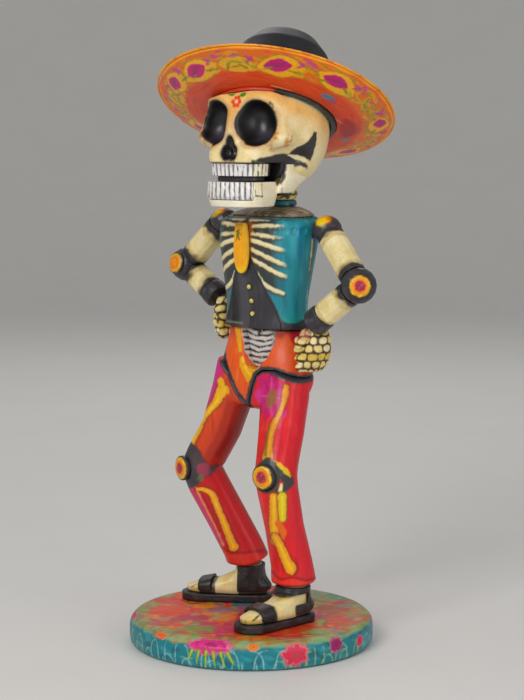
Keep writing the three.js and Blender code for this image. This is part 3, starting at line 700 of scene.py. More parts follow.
# Each kneecap's centre, and the way it faces.
KNEES = {"right": ((-52, -10.2, 103.5), (-0.21, -0.978, 0)),
         "left": ((34.6, -24.2, 110.6), (0.156, -0.988, 0))}
HIP_SEAM = [(-60, 214), (-24.2, 175.8), (-13.7, 164.6), (-7.2, 155.8), (1, 148.6), (4.8, 158.9),
            (8.4, 168.8), (12.7, 171.9), (21.5, 172.2), (31.5, 168.5), (60, 157)]
HIPS = [(0, 14, 196.4, 28, 14), (0, 14, 188, 29.5, 15), (0, 14, 174, 33.5, 18),
        (0, 13, 162, 35, 18.6), (0, 11, 150, 28, 15), (0, 11, 146, 18, 9)]


def hip_band(p, wide=4.4):
    """The black band painted along the hip line."""
    flat = np.column_stack([p.at[:, 0], np.zeros(len(p.at)), p.at[:, 2]])
    gap = past_line(flat, [(x, 0, z) for x, z in HIP_SEAM], wide, 1)
    p.fill(gap, "#39353a", 1.2)


@painted("#ef6d48")
def seat_paint(p):
    x, _, z = p.at.T
    p.lay(step(x, 2, 16), "#e55c2a", 0.9)
    p.vary((9, 9, 16), 4, 0.1, 0.9, "#f58a58", 0.5)
    # Painted shadow under the vest's hem: dark red on the left, a darker orange red on the right.
    p.lay(step(z + 2 * ripple(p.at, 8, 2), 188, 195) * (x > 8), "#8e1d1a", 0.9)
    p.lay(step(z + 2 * ripple(p.at, 8, 2), 189, 196) * (x < -14), "#c03a24", 0.8)
    p.lay(step(x, 28, 35), "#d8392f", 0.6)
    p.spot((28.4, 12.3, 191.5), 4.6, "#c22c58", 3.0, 0.8)
    p.vary((2.5, 2.5, 30), 14, 0.55, 1.0, "#c84a22", 0.35)
    left = [(-16.5, 2.9, 196.5), (-10.4, 1.1, 196.5), (-6, -2.1, 181.5), (-8.8, -1.8, 181)]
    centre = [(-7.3, -2.5, 179.4), (-2, 1, 172.7), (10.4, -3.6, 173), (7.6, -4.3, 169.1),
              (2.5, -5.3, 163.1), (-6, -3.9, 172.8)]
    for shape in (left, centre):
        p.patch(shape, "#b8701c", 3.4, 9)
        p.patch(shape, "#efa51e", 0.9, 9)
    # The painted spine runs on over the fly's left edge.
    p.flat = True
    p.patch([(-9, 0, 198), (6, 0, 198), (6, 0, 182), (7, 0, 172), (2, 0, 174), (-5.6, 0, 182)],
            "#d6d2cc", 0.9)
    _, bands = lumbar_bands(p.at)
    p.patch([(-8.6, 0, 198), (6, 0, 198), (6, 0, 182), (7, 0, 172), (2.4, 0, 175), (-5.2, 0, 182)],
            "#3c3438", 0.9, strength=bands)
    p.flat = False
    p.line([(-5, -3, 178), (0.5, -4.5, 171), (5, -4.5, 168)], 1.6, "#ffd05a", 1.4, 0.8)
    hip_band(p)


def leg_ground(p, side):
    """Lighter and darker long streaks of soft folds, which are painted light and shade, and painted
    shade by which way each part faces: darker on the back and on the inside.
    """
    front = p.facing @ (0.2 if side > 0 else -0.35, -0.93, 0)
    out = p.facing @ (float(side), 0.1, 0)
    # Painted light and shade of soft folds: lighter streaks here, darker ones below.
    p.lay(step(ripple(p.at, (4, 4, 30), 3), 0, 0.9), "#f0605a" if side > 0 else "#e0582c", 0.45)
    # Painted shade on each leg's inside, and on its back below.
    p.lay(step(out, -0.35, -0.85), "#9c1a1c" if side < 0 else "#d0603a", 0.75)
    p.lay(step(front, -0.2, -0.9), "#b82228", 0.55)
    p.vary((3, 3, 40), 13, 0.45, 0.95, "#a82420", 0.35)


def hem(p, height, code):
    """A turned-up hem: a fold line of painted shade, wavy with soft creases, a lighter cuff below
    it and a darker bottom edge.
    """
    z = p.at[:, 2]
    lift = 1.6 * ripple(p.at, 14, 6)
    # Painted shade: a dark red fold line.
    p.lay(step(np.abs(z + lift - height), 1.4, 0.2), "#8c1718", 0.8)
    p.lay(step(z + lift, height, height - 2.5), code, 0.6)
    p.lay(step(z, 44, 42.2), "#7c1412", 0.7)


@painted("#d84a28")
def right_leg_paint(p):
    leg_ground(p, -1)
    # Painted shade by the way the shin faces: below the knee, what faces front left is a pinker,
    # darker red.
    p.lay(step(p.at[:, 2], 112, 102) * step(p.facing @ (0.75, -0.65, 0), 0.1, 0.7), "#cb3338", 0.85)
    p.flat = True
    dark = [(-6, 2, 158), (-14.6, 10, 142.8), (-18.4, 6.6, 133.2), (-23.2, 2.4, 123.5),
            (-30, 0, 114)]
    p.line(dark, (9, 3), "#8f1413", 6, 0.9)
    p.line([(1, 4, 146), (-10, 16, 140), (-18, 14, 124)], (3, 2), "#d24a54", 2.4, 0.8)
    # Painted highlights: pink and magenta along the leg's outer edge, above and below the knee.
    edge = [(-30, 0, 172), (-35.5, 0, 158), (-40, 0, 148), (-47, 0, 138), (-54, 0, 126)]
    p.line(edge, 8, "#d0418c", 5, 0.95)
    p.line([(-60, 0, 104), (-54, 2, 92), (-45, 4, 76), (-36, 9, 56)], 4.5, "#d0508a", 2.5, 0.75)
    femur = [(-23.5, -2.5, 160), (-24.3, -5.2, 150.3), (-30.4, -5.4, 144), (-38.6, -3.8, 137.2),
             (-42.3, -4.7, 129.8), (-48.7, -4.8, 121.4), (-49, -7.2, 117.7)]
    p.bone(femur, (4, 5.5, 3.6, 3.2, 3.2, 4.6, 6), "#eda528", "#8d4a14")
    for knob, radius in (((-22.7, -3.2, 161.5), 2.9), ((-22.4, -4.6, 154.5), 3.6),
                         ((-18.2, -3.2, 156.5), 2.8)):
        p.spot(knob, radius, YELLOW, 1.0)
    p.spot((-22.6, -4, 158), 0.9, "#9c7a1c", 1.0, 0.8)
    black = [(-52, -8, 118), (-43.8, -8, 114.1), (-39.5, -8, 105), (-41.4, -9.2, 97), (-50, -9, 92)]
    p.line(black, (8, 9, 9, 7, 5), "#3a363b", 1.6)
    p.line([(-41, -8.5, 111), (-36, -5.5, 103.5), (-31, -1, 105.5)], (8, 9, 3), "#4a3a3e", 2)
    p.spot((-37, -6, 104), 4.4, "#a8485e", 2.2, 0.85)
    p.spot((-38.5, -7, 98.5), 2.2, "#5d7a4c", 1.6, 0.7)
    p.line([(-31, 0, 106), (-24, 8, 108.5), (-21, 14, 109)], (1.6, 0.6), "#6d1414", 1.4, 0.8)
    p.spot(KNEES["right"][0], 10.8, "#39353a", 1.6)
    tibia = [(-41.5, -7.4, 91), (-36.2, -5.5, 90.7), (-32.6, -2.7, 88), (-29.3, -0.7, 79.3),
             (-26, 1.5, 69.8), (-23.2, 4, 60), (-21.5, 5.4, 54.5)]
    p.bone(tibia, (2, 3, 4.2, 4.2, 4.4, 5, 6), "#ef9a1e", "#8a1a10")
    p.line([(-44, -6, 92), (-36.6, -4, 78), (-31.6, -0.4, 66), (-28.4, 3, 55)], 1.1, "#f0a04c", 0.9,
           0.9)
    p.line([(-38, -6, 87), (-33, -2.5, 76), (-29, 0.5, 64)], (1.4, 0.8), "#8e1c14", 1.4, 0.8)
    hem(p, 51.5, "#dd4a3c")
    hip_band(p)


@painted("#e43f42")
def left_leg_paint(p):
    leg_ground(p, 1)
    # Painted shade: the side that faces back left is a darker red, with a soft darker line by the
    # inner edge.
    p.lay(step(p.facing @ (0.9, 0.42, 0), 0.45, 0.95), "#cf3a46", 0.6)
    p.line([(20, -2, 140), (24, -9, 124)], 3, "#a8341c", 3, 0.7)
    p.flat = True
    petals = [(23.1 + 10.6 * math.cos(t), -5.4 - 2.6 * math.cos(t), 156 + 12 * math.sin(t))
              for t in np.linspace(0, 2 * math.pi, 9)[:-1]]
    for k, petal in enumerate(petals):
        p.spot(petal, 5, ("#c8286a", "#dc4a92", "#b81f58")[k % 3], 1.8)
    p.spot((23.1, -6, 156.5), 10, "#d23e80", 4)
    for k, petal in enumerate(petals):
        p.line([(23.1, -6, 157), petal], (0.6, 1.2), "#a01c4c" if k % 2 else "#e667a0", 1.2, 0.7)
    p.spot((24, -6.4, 155.5), 4.2, "#9a6a3c", 3.4, 0.9, (1, 1, 1.5))
    femur = [(31.6, -1.6, 163), (32.3, -3, 158), (32.2, -6, 150.6), (30.4, -9.3, 143),
             (29.6, -12, 137), (31.5, -16, 129.3), (33.5, -19.5, 122)]
    p.bone(femur, (3, 4, 2.6, 3.2, 3.2, 3.4, 6.5), "#d98b2c", "#8f3a1c", "#f3b85a")
    p.line([(27.5, -12, 140), (28, -15, 130), (30, -18, 121)], (1, 1.6), "#6e5a1c", 1.4, 0.8)
    p.line([(36.5, -10, 142), (38, -13, 132), (39, -16, 123)], 2, "#c23048", 2, 0.8)
    p.line([(30, -18, 121), (34.5, -20, 119.5), (39, -19, 119)], (3, 4, 3), "#d8a41e", 1.2)
    p.spot(KNEES["left"][0], 10.4, "#35342f", 1.4)
    p.line([(35.1, -20.8, 119.5), (40.5, -18.6, 115), (44, -15, 111), (44.5, -12, 107),
            (42, -18, 102.5), (39, -20, 100)], (5.5, 6, 6.5, 6, 5, 4), "#363836", 1.4)
    p.line([(41, -17.8, 118.5), (44.4, -15, 114.5), (45.6, -12.5, 111)], (2.2, 3.2, 1.4), "#e8c02c",
           0.9)
    p.line([(43.6, -18, 106.5), (43.4, -18.4, 102.5)], (1.2, 2.4), "#efe2a4", 0.9)
    p.bone([(39.9, -20.5, 98.5), (39.3, -19.9, 90.6), (37.8, -18.3, 80.9), (36.4, -16.2, 70)],
           (5, 5, 5.4, 4.6), "#f2a024", "#a8421c")
    p.bone([(43.9, -17.6, 99), (43.6, -17, 92), (43, -16.2, 85)], (5, 4.8, 4), "#d9c022", "#8f5a1c")
    p.line([(41.2, -18, 82), (43.2, -16, 77), (42, -15, 73)], (4.4, 4, 2.4), "#e8743a", 1.4)
    p.bone([(37.2, -16.5, 73), (40.2, -14.7, 66.5), (42.4, -12.4, 59), (44.5, -10.4, 53.5)],
           (4.6, 5.2, 5.8, 7), "#eea022", "#8f2a18")
    p.line([(46.8, -9, 60), (47.3, -8, 54), (46, -8.6, 50)], 1.3, "#8f1a1c", 1.4, 0.8)
    hem(p, 47.5, "#ef5a4e")
    hip_band(p)


def disc_paint(centre, faces, radius, heart="#9c3350"):
    """A ringed disc: yellow, orange and a heart of another colour."""

    @painted(YELLOW)
    def paint(p):
        axis = np.array(faces, float) / np.linalg.norm(faces)
        off = p.at - centre
        gap = np.linalg.norm(off - (off @ axis)[:, None] * axis,
                             axis=1) + 0.25 * ripple(p.at, 2.4, 3)
        p.lay(step(gap, radius - 2, radius - 1.2), "#a8801c", 0.85)
        for part, code in ((0.7, "#f0952a"), (0.5, "#e06a2c"), (0.4, heart)):
            p.fill(gap - radius * part, code)
        p.lay(step(ripple(p.at, 1.5, 7), 0.2, 0.8) * step(gap, radius * 0.4, radius * 0.3),
              "#d8745c", 0.5)
        p.lay(step(np.abs(gap - radius * 0.78), radius * 0.1,
                   0) * step(ripple(p.at, 5, 2), -0.2, 0.6), "#f9de62", 0.7)
        p.lay(np.maximum(step(gap, radius - 1.1, radius - 0.7), step(p.facing @ axis, 0.62, 0.4)),
              "#2d2a2e")

    return paint


def lumbar_bands(at):
    """How far each point stands out on the vertebrae, and the dark between them, both 0 to 1."""
    x, _, z = at.T
    phase = (z - 0.012 * (x - 3) ** 2 + 0.3 * ripple(at, 5, 4)) / 3.4
    gap = np.abs(np.mod(phase, 1) - 0.5) * 3.4
    return 0.5 + 0.5 * np.cos(2 * math.pi * phase), step(gap, 1.05, 0.35)


@painted("#d6d2cc")
def lumbar_paint(p):
    """Painted vertebrae: pale curved stripes with dark hollows between them."""
    x, _, z = p.at.T
    _, between = lumbar_bands(p.at)
    p.lay(between * step(x, 14.5 + 0.12 * (z - 180), 12.5 + 0.12 * (z - 180)), "#3c3438")
    p.lay(step(x, 12, 17), "#5f5148", 0.8)
    for side in (-1, 1):
        p.line([(4 + side * 2.6, 1, 197), (4 + side * 2.2, 0, 185), (6 + side * 1.6, -3, 172)], 0.5,
               "#4a4246", 0.8, 0.7)
    p.spot((5, 2.7, 193.5), 2.2, "#2f2a2e", 1.0, 1, (1, 2, 0.75))
    p.vary(2.4, 9, 0.4, 0.9, "#f4f0ea", 0.4)


def lumbar_shape(at):
    """Raised vertebrae on the flat front."""
    stands, _ = lumbar_bands(at)
    at[:, 1] += 0.6 * (1 - stands) * step(at[:, 1], 6.5, 4.5)
    return at


# ---- Torso.

TORSO = [(0, 24, 271, 14, 11), (0, 20, 268, 25, 17), (0, 17, 262, 33, 22), (0, 15.5, 250, 33.5, 22),
         (0, 14.5, 230, 31, 19), (0, 14, 210, 29.5, 15.5), (0, 15, 197, 31, 18)]
# Each rib from the breastbone outwards, on the left half.
RIBS = [
    ((5.8, -5, 259.8), (17.7, -3.2, 260.6), (26.5, 1.6, 260.4)),
    ((6.3, -5.5, 255.5), (18.4, -3.9, 254.4), (27, 1, 253.4)),
    ((5.9, -6, 251.7), (14.7, -5.3, 249.9), (23.5, -2.1, 247.4), (28, 1.6, 246)),
    ((5.7, -5.8, 246.2), (14.1, -4.7, 243.2), (22.9, -1.5, 239.3), (27.6, 2.4, 237)),
    ((5.2, -5.2, 240.4), (13.6, -4.2, 237), (22.4, -0.9, 232.3), (27, 3, 230)),
    ((9.6, -4.2, 231.4), (12.5, -3.5, 226.4), (18.2, -1.5, 222.4), (25, 2.7, 219.6)),
]
VEST_TRIM = [(2, -5, 243), (5.2, -4.5, 236), (8.6, -3.6, 226), (13.6, -1.5, 216), (18.4, 0.2, 207),
             (22.4, 1.4, 200.5), (28, 8, 197.3), (30.8, 16, 196.8), (31, 22, 196.8)]


@painted(TEAL)
def vest_paint(p):
    x, y, z = p.at.T
    skin = step((np.abs(x) / 30) ** 2.6 + (np.abs(y - 15) / 19) ** 2.6, 0.72, 0.8)
    p.vary((7, 7, 22), 4, 0, 0.9, "#3f9fae", 0.65)
    p.vary((5, 5, 30), 9, 0.3, 1.0, "#1c6d7d", 0.6)
    p.lay(step(z, 212, 199) * step(x, 10, 22), "#2f9f96", 0.6)
    p.line([(33.4, 8, 262), (33, 10, 240), (31.5, 8, 215), (31.6, 10, 200)], 2.4, "#2a6ea4", 2.2,
           0.7)
    # Painted shade: the right side is a darker grey teal.
    p.lay(step(x, -12, -25), "#46605c", 0.75)
    # The chest: ribs in the open, dark between them, fading out under the teal, each with a painted
    # shadow under it and a painted highlight on top.
    for flip in BOTH_HALVES:
        half = flip([(1, 0, 0)])[0][0]
        fade = step(np.abs(x), 29, 25.5) * step(y, 9, 5) * (half * x > -3) * skin
        chest = step(np.abs(x), 27.5, 19) * step(y, 8, 4) * (half * x > 0)
        hollow = chest * step(z, 217, 224) * step(z, 265.5, 263) * skin
        p.lay(hollow, "#2c2826", 0.92)
        p.lay(hollow * step(np.abs(x), 10, 6), "#4d3216", 0.7)
        for rib in RIBS:
            line = flip(rib)
            gap = past_line(p.at, line, (2.6, 2.8, 2.8, 2.2)) + p.waver
            # Painted shadow under each rib.
            rib_shadow = past_line(p.at + [0, 0, 1.3], line, (2.6, 2.8, 2.8, 2.2)) + p.waver
            p.lay(step(rib_shadow, 1.4, -0.2) * fade, "#4a3826", 0.55)
            p.lay(step(gap, 0.45, -0.45) * fade, "#e3d4a2")
            # Painted highlight along each rib's top.
            above = past_line(p.at - [0, 0, 0.45], line, (0.9, 1.0, 1.0, 0.7))
            p.lay(step(above, 0.7, -0.3) * fade, "#f6edc8", 0.6)
        breast = flip([(4.5, -5, 263), (5.4, -5.4, 252), (5, -5.4, 244), (6.3, -4.6, 236)])
        p.line(breast, (4, 3, 2.6, 1.4), "#a05c22", 1.4, 0.9, skin)
        p.line(flip([(3, -3, 263.8), (10, -2.8, 263.7), (17.5, -1.4, 263.2)]), (2.6, 2.4, 1),
               "#ece0c2", 0.8, 1.0, skin)
        trim = past_line(p.at, flip(VEST_TRIM), (4, 6.4, 8, 8, 7.4, 6.6, 6, 5.6, 5.6), 4)
        p.fill(trim + (1 - skin), "#37353a", 0.9)
        # The open side seams.
        p.line(flip([(33.3, 20, 253), (32.6, 20.5, 240), (31.6, 20.5, 228)]), (2.6, 3.4, 3),
               "#6a4a2c", 1.0)
        p.line(flip([(33.3, 19.4, 252), (32.6, 19.8, 240), (31.6, 19.8, 229)]), (1.4, 2, 1.6),
               "#e6d9a8", 0.7)
        p.line(flip([(30.6, 20, 220), (30.2, 20, 211), (30.8, 20, 201)]), (2.6, 3.2, 2.4),
               "#c9c2a8", 0.8)
        p.line(flip([(30.6, 19.9, 219), (30.2, 19.9, 211), (30.8, 19.9, 202)]), (1.4, 2, 1.4),
               "#4a1c18", 0.7)
    p.lay(step(z + 0.7 * ripple(p.at, 9, 4), 202.4, 200.8), "#2e2c30", 0.95)
    inner = 1 - skin
    p.lay(inner, "#6d675a", 0.8)
    p.lay(step(z, 263.4, 265) * skin, "#2f4a4c", 0.8)


@painted("#2f2d31")
def waistcoat_paint(p):
    x, _, z = p.at.T
    p.lay(step(x, 1.6, 0.2) * step(x, -9, -6) * step(z, 236, 226), "#4d4a50", 0.85)
    p.line([(-1.2, -4, 236), (0.4, -3, 222), (1.6, -1.4, 198)], 1.1, "#1c1a1e", 1.2, 0.8)
    # Painted shade: the right side is darker.
    p.lay(step(x, -9, -13), "#121114", 0.9)
    p.vary((5, 5, 18), 3, 0.1, 0.9, "#46434a", 0.5)
    p.lay(step(np.abs(z - 199.5), 1.2, 0.1) * step(x, -3, -6), "#8f8f78", 0.5)
    # Painted shade round each button.
    for height in (222.6, 213.8, 205.9):
        p.spot((2.2, -3, height), 2.6, "#17151a", 1.4, 0.8)


button_paint = mottled("#e2d27a", (1.4, "#a8922c", 0.7, 0.1, 0.9))


@painted("#f7aa35")
def tie_paint(p):
    x, _, z = p.at.T
    p.lay(step(np.abs(x + 0.5), 3.4, 5.8), "#f2c62e", 0.9)
    p.lay(step(z, 238, 232), "#f3d02f", 0.8)
    p.lay(step(z, 251, 258), "#d8a01c", 0.85)
    p.lay(step(z, 258, 262), "#8f6a1c", 0.7)
    p.lay(step(x, 3.6, 6), "#b06a1c", 0.55)
    sprig = [(-1, -9, 259.5), (-2.2, -9.4, 256), (-2.8, -9.4, 252.5)]
    p.line(sprig, (1.2, 0.7), "#4c4a12", 0.7)
    for k, (dx,
            dz) in enumerate(((2.8, 1.6), (3, -1.8), (-2.2, 1.4), (-2, -2.2), (2, -4), (-2.6, -5))):
        at = np.array([-1.9, -9.4, 257 - 0.5 * k])
        p.line([at, at + [dx, 0.2, dz]], (1.8, 0.6), "#59701c" if k % 2 else "#6a4a14", 0.8, 0.9)
    p.vary((3, 3, 14), 5, 0.3, 0.9, "#ffc45a", 0.5)


@painted("#857a68")
def collar_paint(p):
    streak = p.figure @ np.array([[0.7, -0.7, 0], [0.7, 0.7, 0], [0, 0, 1.0]])
    for size, seed, code in (((9, 3, 2), 3, "#a39784"), ((7, 2.4, 2), 8, "#5c5546"),
                             ((6, 3, 2), 12, "#c7b998"), ((8, 2, 2), 16, "#3f3c34")):
        p.lay(step(ripple(streak, size, seed), 0.25, 0.75), code, 0.75)
    p.spot((-8.7, 3.4, 267), 2.6, "#a8685a", 2, 0.6)
    p.lay(step(p.at[:, 2], 267, 265.5), "#57645a", 0.6)


# ---- Arms and hands.

SHOULDERS = {"right": (-45, 20.7, 260.5), "left": (44.7, 20.5, 258.5)}
ELBOWS = {"right": (-75, 16.2, 231.5), "left": (79, 11.2, 227)}
WRISTS = {"right": (-47.5, 17.5, 212.5), "left": (46, 8.5, 202.5)}
FISTS = {"right": (-40.5, 20.5, 199), "left": (41.5, 10.5, 185.5)}
ELBOW_FACES = {"right": (-0.09, -0.98, 0.15), "left": (0.72, -0.69, 0.05)}


def arm_paint(start, end, dark_start, dark_end):
    """Cream bone with black airbrushed over its ends."""

    @painted(CREAM)
    def paint(p):
        a, b = np.array(start, float), np.array(end, float)
        run, long = b - a, np.linalg.norm(b - a)
        far = (p.at - a) @ run / long
        p.mottle(14, "#dfc684", 0.5, 0.0, 0.9, 6)
        p.mottle(11, "#f3e8bd", 0.5, 0.2, 1.0, 2)
        for gap, dark in ((far, dark_start), (long - far, dark_end)):
            p.lay(step(gap + 1.4 * ripple(p.at, 7, 3), dark + 3.6, dark + 0.4), "#2b2726")
            p.lay(step(np.abs(gap - dark - 3.4) + 0.8 * ripple(p.at, 4, 5), 2.6, 0.2), "#a0843c",
                  0.4)
        side = 1 if b[0] > 0 else -1
        edge = [a + run * t + np.array([side * 4.6, -5.6, 3.2]) for t in (0.22, 0.5, 0.78)]
        p.line(edge, (0.5, 0.8, 0.5), "#5c4a26", 0.8, 0.75)

    return paint


def cap_paint(side):
    @painted("#332f34")
    def paint(p):
        x, y, z = SHOULDERS[side]
        out = 1 if side == "left" else -1
        spot = (x + out * 1.5, y - 6, z + 7.6)
        p.spot(spot, 6.6, "#b8701c", 2.4, 0.8, (1, 0.9, 0.72))
        p.spot(spot, 5.6, "#f0a42a", 1.6, 1, (1, 0.9, 0.72))
        p.spot((spot[0], spot[1] - 1.4, spot[2] - 2), 3.4, "#e8cf3a", 2.4, 0.8)
        p.mottle(9, "#454049", 0.4, 0.3, 0.9, 4)

    return paint


elbow_paint = mottled("#2d2a2e", (8, "#454045", 0.4, 0.3, 0.9, 4))
cuff_paint = mottled("#2c292d", (6, "#57525a", 0.6, 0.2, 0.9, 3))


def finger_bones(at, side):
    """How far out each point is in its finger bone, 1 at the edge, and which bone that is."""
    fx, fy, fz = FISTS[side]
    x, y, z = at.T
    round_ = np.arctan2(y - fy, x - fx) * 9.5
    row = np.clip(np.round((z - fz - 6.6) / 5), -9, 1)
    shifted = (round_ + 2.6 * row + 0.5 * ripple(at, 6, 3)) / 6.2
    column = np.round(shifted)
    up, along = (z - fz - 6.6) / 5 - row, shifted - column
    out = (np.abs(up / 0.46) ** 2.6 + np.abs(along / 0.47) ** 2.6) ** (1 / 2.6)
    return out, row * 7 + column


def hand_shape(side):
    """Presses the creases in between the finger bones."""

    def shape(at):
        out, _ = finger_bones(at, side)
        fx, fy, _ = FISTS[side]
        off = at[:, :2] - (fx, fy)
        off /= np.maximum(np.linalg.norm(off, axis=1), 2)[:, None]
        at[:, :2] -= off * (0.75 * step(out, 0.8, 1.15))[:, None]
        return at

    return shape


def hand_paint(side):
    @painted("#e6d38c")
    def paint(p):
        out, bone = finger_bones(p.at, side)
        p.lay(step(np.sin(bone * 12.9), 0.0, 0.9), "#d3b13e", 0.75)
        p.lay(step(np.sin(bone * 7.3 + 2), 0.2, 0.9), "#f2e7bc", 0.75)
        p.mottle(3.5, "#c79c3a", 0.35, 0.2, 0.9, 9)
        p.lay(step(out + 0.3 * p.waver, 0.72, 0.92), "#8a5c28", 0.6)
        p.lay(step(out + 0.3 * p.waver, 0.9, 1.04), "#2c1f16", 0.95)
        if side == "left":
            fx, fy, fz = FISTS[side]
            p.spot((fx + 2, fy - 9, fz + 11), 4.5, "#b8625a", 3, 0.5)

    return paint


# ---- Head.


def to_head(points):
    """Figure points into the head's frame."""
    return [tuple(q) for q in in_head(np.array(points, float))]


FIN = to_head([(27.3, 5.2, 304.1), (32.7, 6.5, 308.4), (36.5, 13, 312.6), (37.2, 16.7, 317.9),
               (37.1, 19.4, 317.3), (35.9, 19.9, 310.7), (32.6, 19.9, 302.2), (31.2, 19.6, 299.8),
               (30.8, 16.4, 301.6), (29.3, 12.8, 302.9), (28, 9.6, 303.5)])
CHEEK_BAND = to_head([(22.6, -21, 299.8), (24.7, -15.3, 300.7), (24.9, -9.7, 300.2),
                      (25.2, -5, 300), (25.8, 0, 299), (27, 5, 299), (27.4, 10, 299.2),
                      (28.5, 15, 298.4), (29.3, 18.5, 296.4)])
ARCH = to_head([(26.8, 4.8, 303.5), (27.2, 9.7, 302.3), (28.2, 13, 301), (29.4, 16.1, 299.8)])
ARCH_LINE = to_head([(27.2, 11.4, 300.4), (28.9, 15.8, 298.6), (29.4, 18, 297.3),
                     (28.1, 20.2, 294.8)])
# A patch of painted shade beside each socket.
TEMPLE_SHADE = to_head([(30, -8.9, 318), (35.5, -11.1, 316.9), (36.2, -10.9, 312.7), (31.6, -9.6, 308.5),
               (27, -10.9, 306.1), (30.3, -12.6, 309.1), (34.3, -13.2, 312.7)])


@painted("#f0dca6", in_head)
def skull_paint(p):
    skull = in_skull(p.figure)
    x, d, z = skull.T
    height = (p.figure - HAT_AT) @ HAT[:, 2]
    p.mottle(14, "#f6e9c2", 0.6, 0.1, 0.9, 2)
    p.mottle(9, "#e2c781", 0.4, 0.2, 1.0, 7)
    p.lay(step(height + 1.5 * ripple(p.at, 12, 3), -8, 0), "#efae3e", 0.5)
    p.lay(step(height, -12, -3) * step(np.abs(x) - 0.3 * d, 12, 24), "#ee9f5c", 0.22)
    p.lay(step(d, -4, -26), "#e8d7a4", 0.5)
    p.spot((0, -49, 57), 7, "#e7a24e", 8, 0.6, (0.9, 1, 1.6))
    for flip in BOTH_HALVES:
        p.line(flip([(22, -46, 71), (30, -40, 66), (34, -32, 58)]), 5, "#f0b45c", 5, 0.45)
        # Painted shade in tan beside the socket.
        p.patch(flip(TEMPLE_SHADE), "#bf7c30", 1.4, 9, 1.0)
        p.line(flip(to_head([(37.5, -6.3, 315.7), (37, -7.2, 312.1), (33.4, -2.9, 309.1)])),
               (1, 3, 3.4), "#cf8a48", 2.2, 0.8)
        # A painted highlight: a pale upright line.
        p.line(flip(to_head([(36.5, -4, 317), (36.5, -4.6, 310)])), 1.2, "#f8edca", 1.4, 0.8)
        p.line(flip(CHEEK_BAND), (2.4, 2.8, 5.5, 9, 11.5, 10.5, 6.5, 3.2, 2.2), "#2c2a2c", 1.4)
        p.line(flip(to_head([(25, -5, 296), (25.5, 1, 293), (24.5, 3, 290.5)])), (5, 8, 8),
               "#262426", 1.6)
        p.patch(flip(FIN), "#2d2b2d", 0.9, 6)
        p.line(flip([(31, -19, 46.5), (35, -13.5, 47.4)]), 0.6, "#96a04a", 1.2, 0.6)
        p.line(flip(ARCH), (0.8, 2, 3.6, 2.2), "#f2e8bc", 0.8)
        p.line(flip(ARCH_LINE), 0.9, "#4a443c", 0.8)
        p.line(flip([(12.5, -49.6, 34.5), (13.2, -49, 33.5)]), 1.6, "#c0a468", 1.4, 0.6)
    far = np.minimum(*(smooth_least(away(skull, SOCKETS[k]), away(skull, SOCKETS[k + 2]),
                                    7) for k in (0, 1)))
    # Painted shade in tan round the sockets.
    p.lay(step(far, 4.6, 1.2) * (d > 12), "#b9824a", 0.55)
    p.lay(step(far + 0.5 * p.waver, 1.5, 0.5) * (d > 12), "#0f0d10")
    # A painted reflection: dark grey, low in each socket.
    low = step(np.abs(z + 7), 5.5, 1.5) * step(np.abs(np.abs(x) - 17.5), 8,
                                               3) * (far < 0.6) * (d > 12)
    p.lay(low, "#3e3b45", 0.7)
    nose = np.minimum.reduce([away(skull, hollow) for hollow in NOSE])
    # Painted shade in tan round the nose.
    p.lay(step(nose, 2.6, 1.0) * (d > 12), "#b88a56", 0.6)
    p.lay(step(nose + 0.4 * p.waver, 1.15, 0.35) * (d > 12), "#161316")
    for dot in to_head([(28.8, -12.8, 334.6), (29.9, -11.4, 332.2), (29.6, -9.4, 329.9),
                        (28.2, -7.9, 326.9), (30.2, -12.2, 333.6)]):
        p.spot(dot, 0.8, "#3a342c", 0.8, 0.8)
    # A flower over the nose, with its leaves.
    middle = np.array(to_head([(7.3, -19.7, 335.6)])[0])
    for k in range(6):
        turn = k * math.pi / 3
        p.spot(middle + [2.5 * math.cos(turn), 0, 2.9 * math.sin(turn)], 1.5, "#e6502e", 0.8)
    p.line([middle + [0, 0, -2], middle + [-0.3, -0.8, -7]], (2.4, 0.8), "#e8603a", 1.0)
    p.spot(middle, 1.2, "#f7c0a0", 0.8)
    for leaf in ((-3.6, -18, 338.6, 1.8), (2.6, -18, 339.6, 1.8), (11.6, -18, 339.6, 1.8)):
        p.spot(to_head([leaf[:3]])[0], leaf[3], "#4f8f2c", 0.9, 1, (1.5, 1, 0.8))
    # The cut behind the teeth is black.
    p.lay(step(p.at[:, 1], -26.5, -28) * step(p.at[:, 2], 30, 28.8), "#1f1c1f")
    # Where the hat covers it the skull stays bare.
    p.lay(step(height, 1.6, 2.4), "#d9cba2")


MUZZLE = {"centre": -42.0, "wide": 18.6, "deep": 12.1, "pitch": 3.4}
LOWER = {"centre": -41.0, "wide": 20.3, "deep": 17.1, "pitch": 3.6}
JAW_BOXY = 2.9


def tooth_gap(head, jaw):
    """How far each point is along the jaw from a line between teeth, and how many teeth round."""
    t = np.linspace(-math.pi, math.pi, 721)
    px, py = jaw["wide"] * bulge(np.sin(t), JAW_BOXY), -jaw["deep"] * bulge(np.cos(t), JAW_BOXY)
    run = np.concatenate([[0], np.cumsum(np.hypot(np.diff(px), np.diff(py)))])
    run -= np.interp(0, t, run)
    turn = np.arctan2(px, -py)
    at = np.interp(np.arctan2(head[:, 0], -(head[:, 1] - jaw["centre"])), turn, run) / jaw["pitch"]
    return np.abs(at - np.round(at)) * jaw["pitch"], at


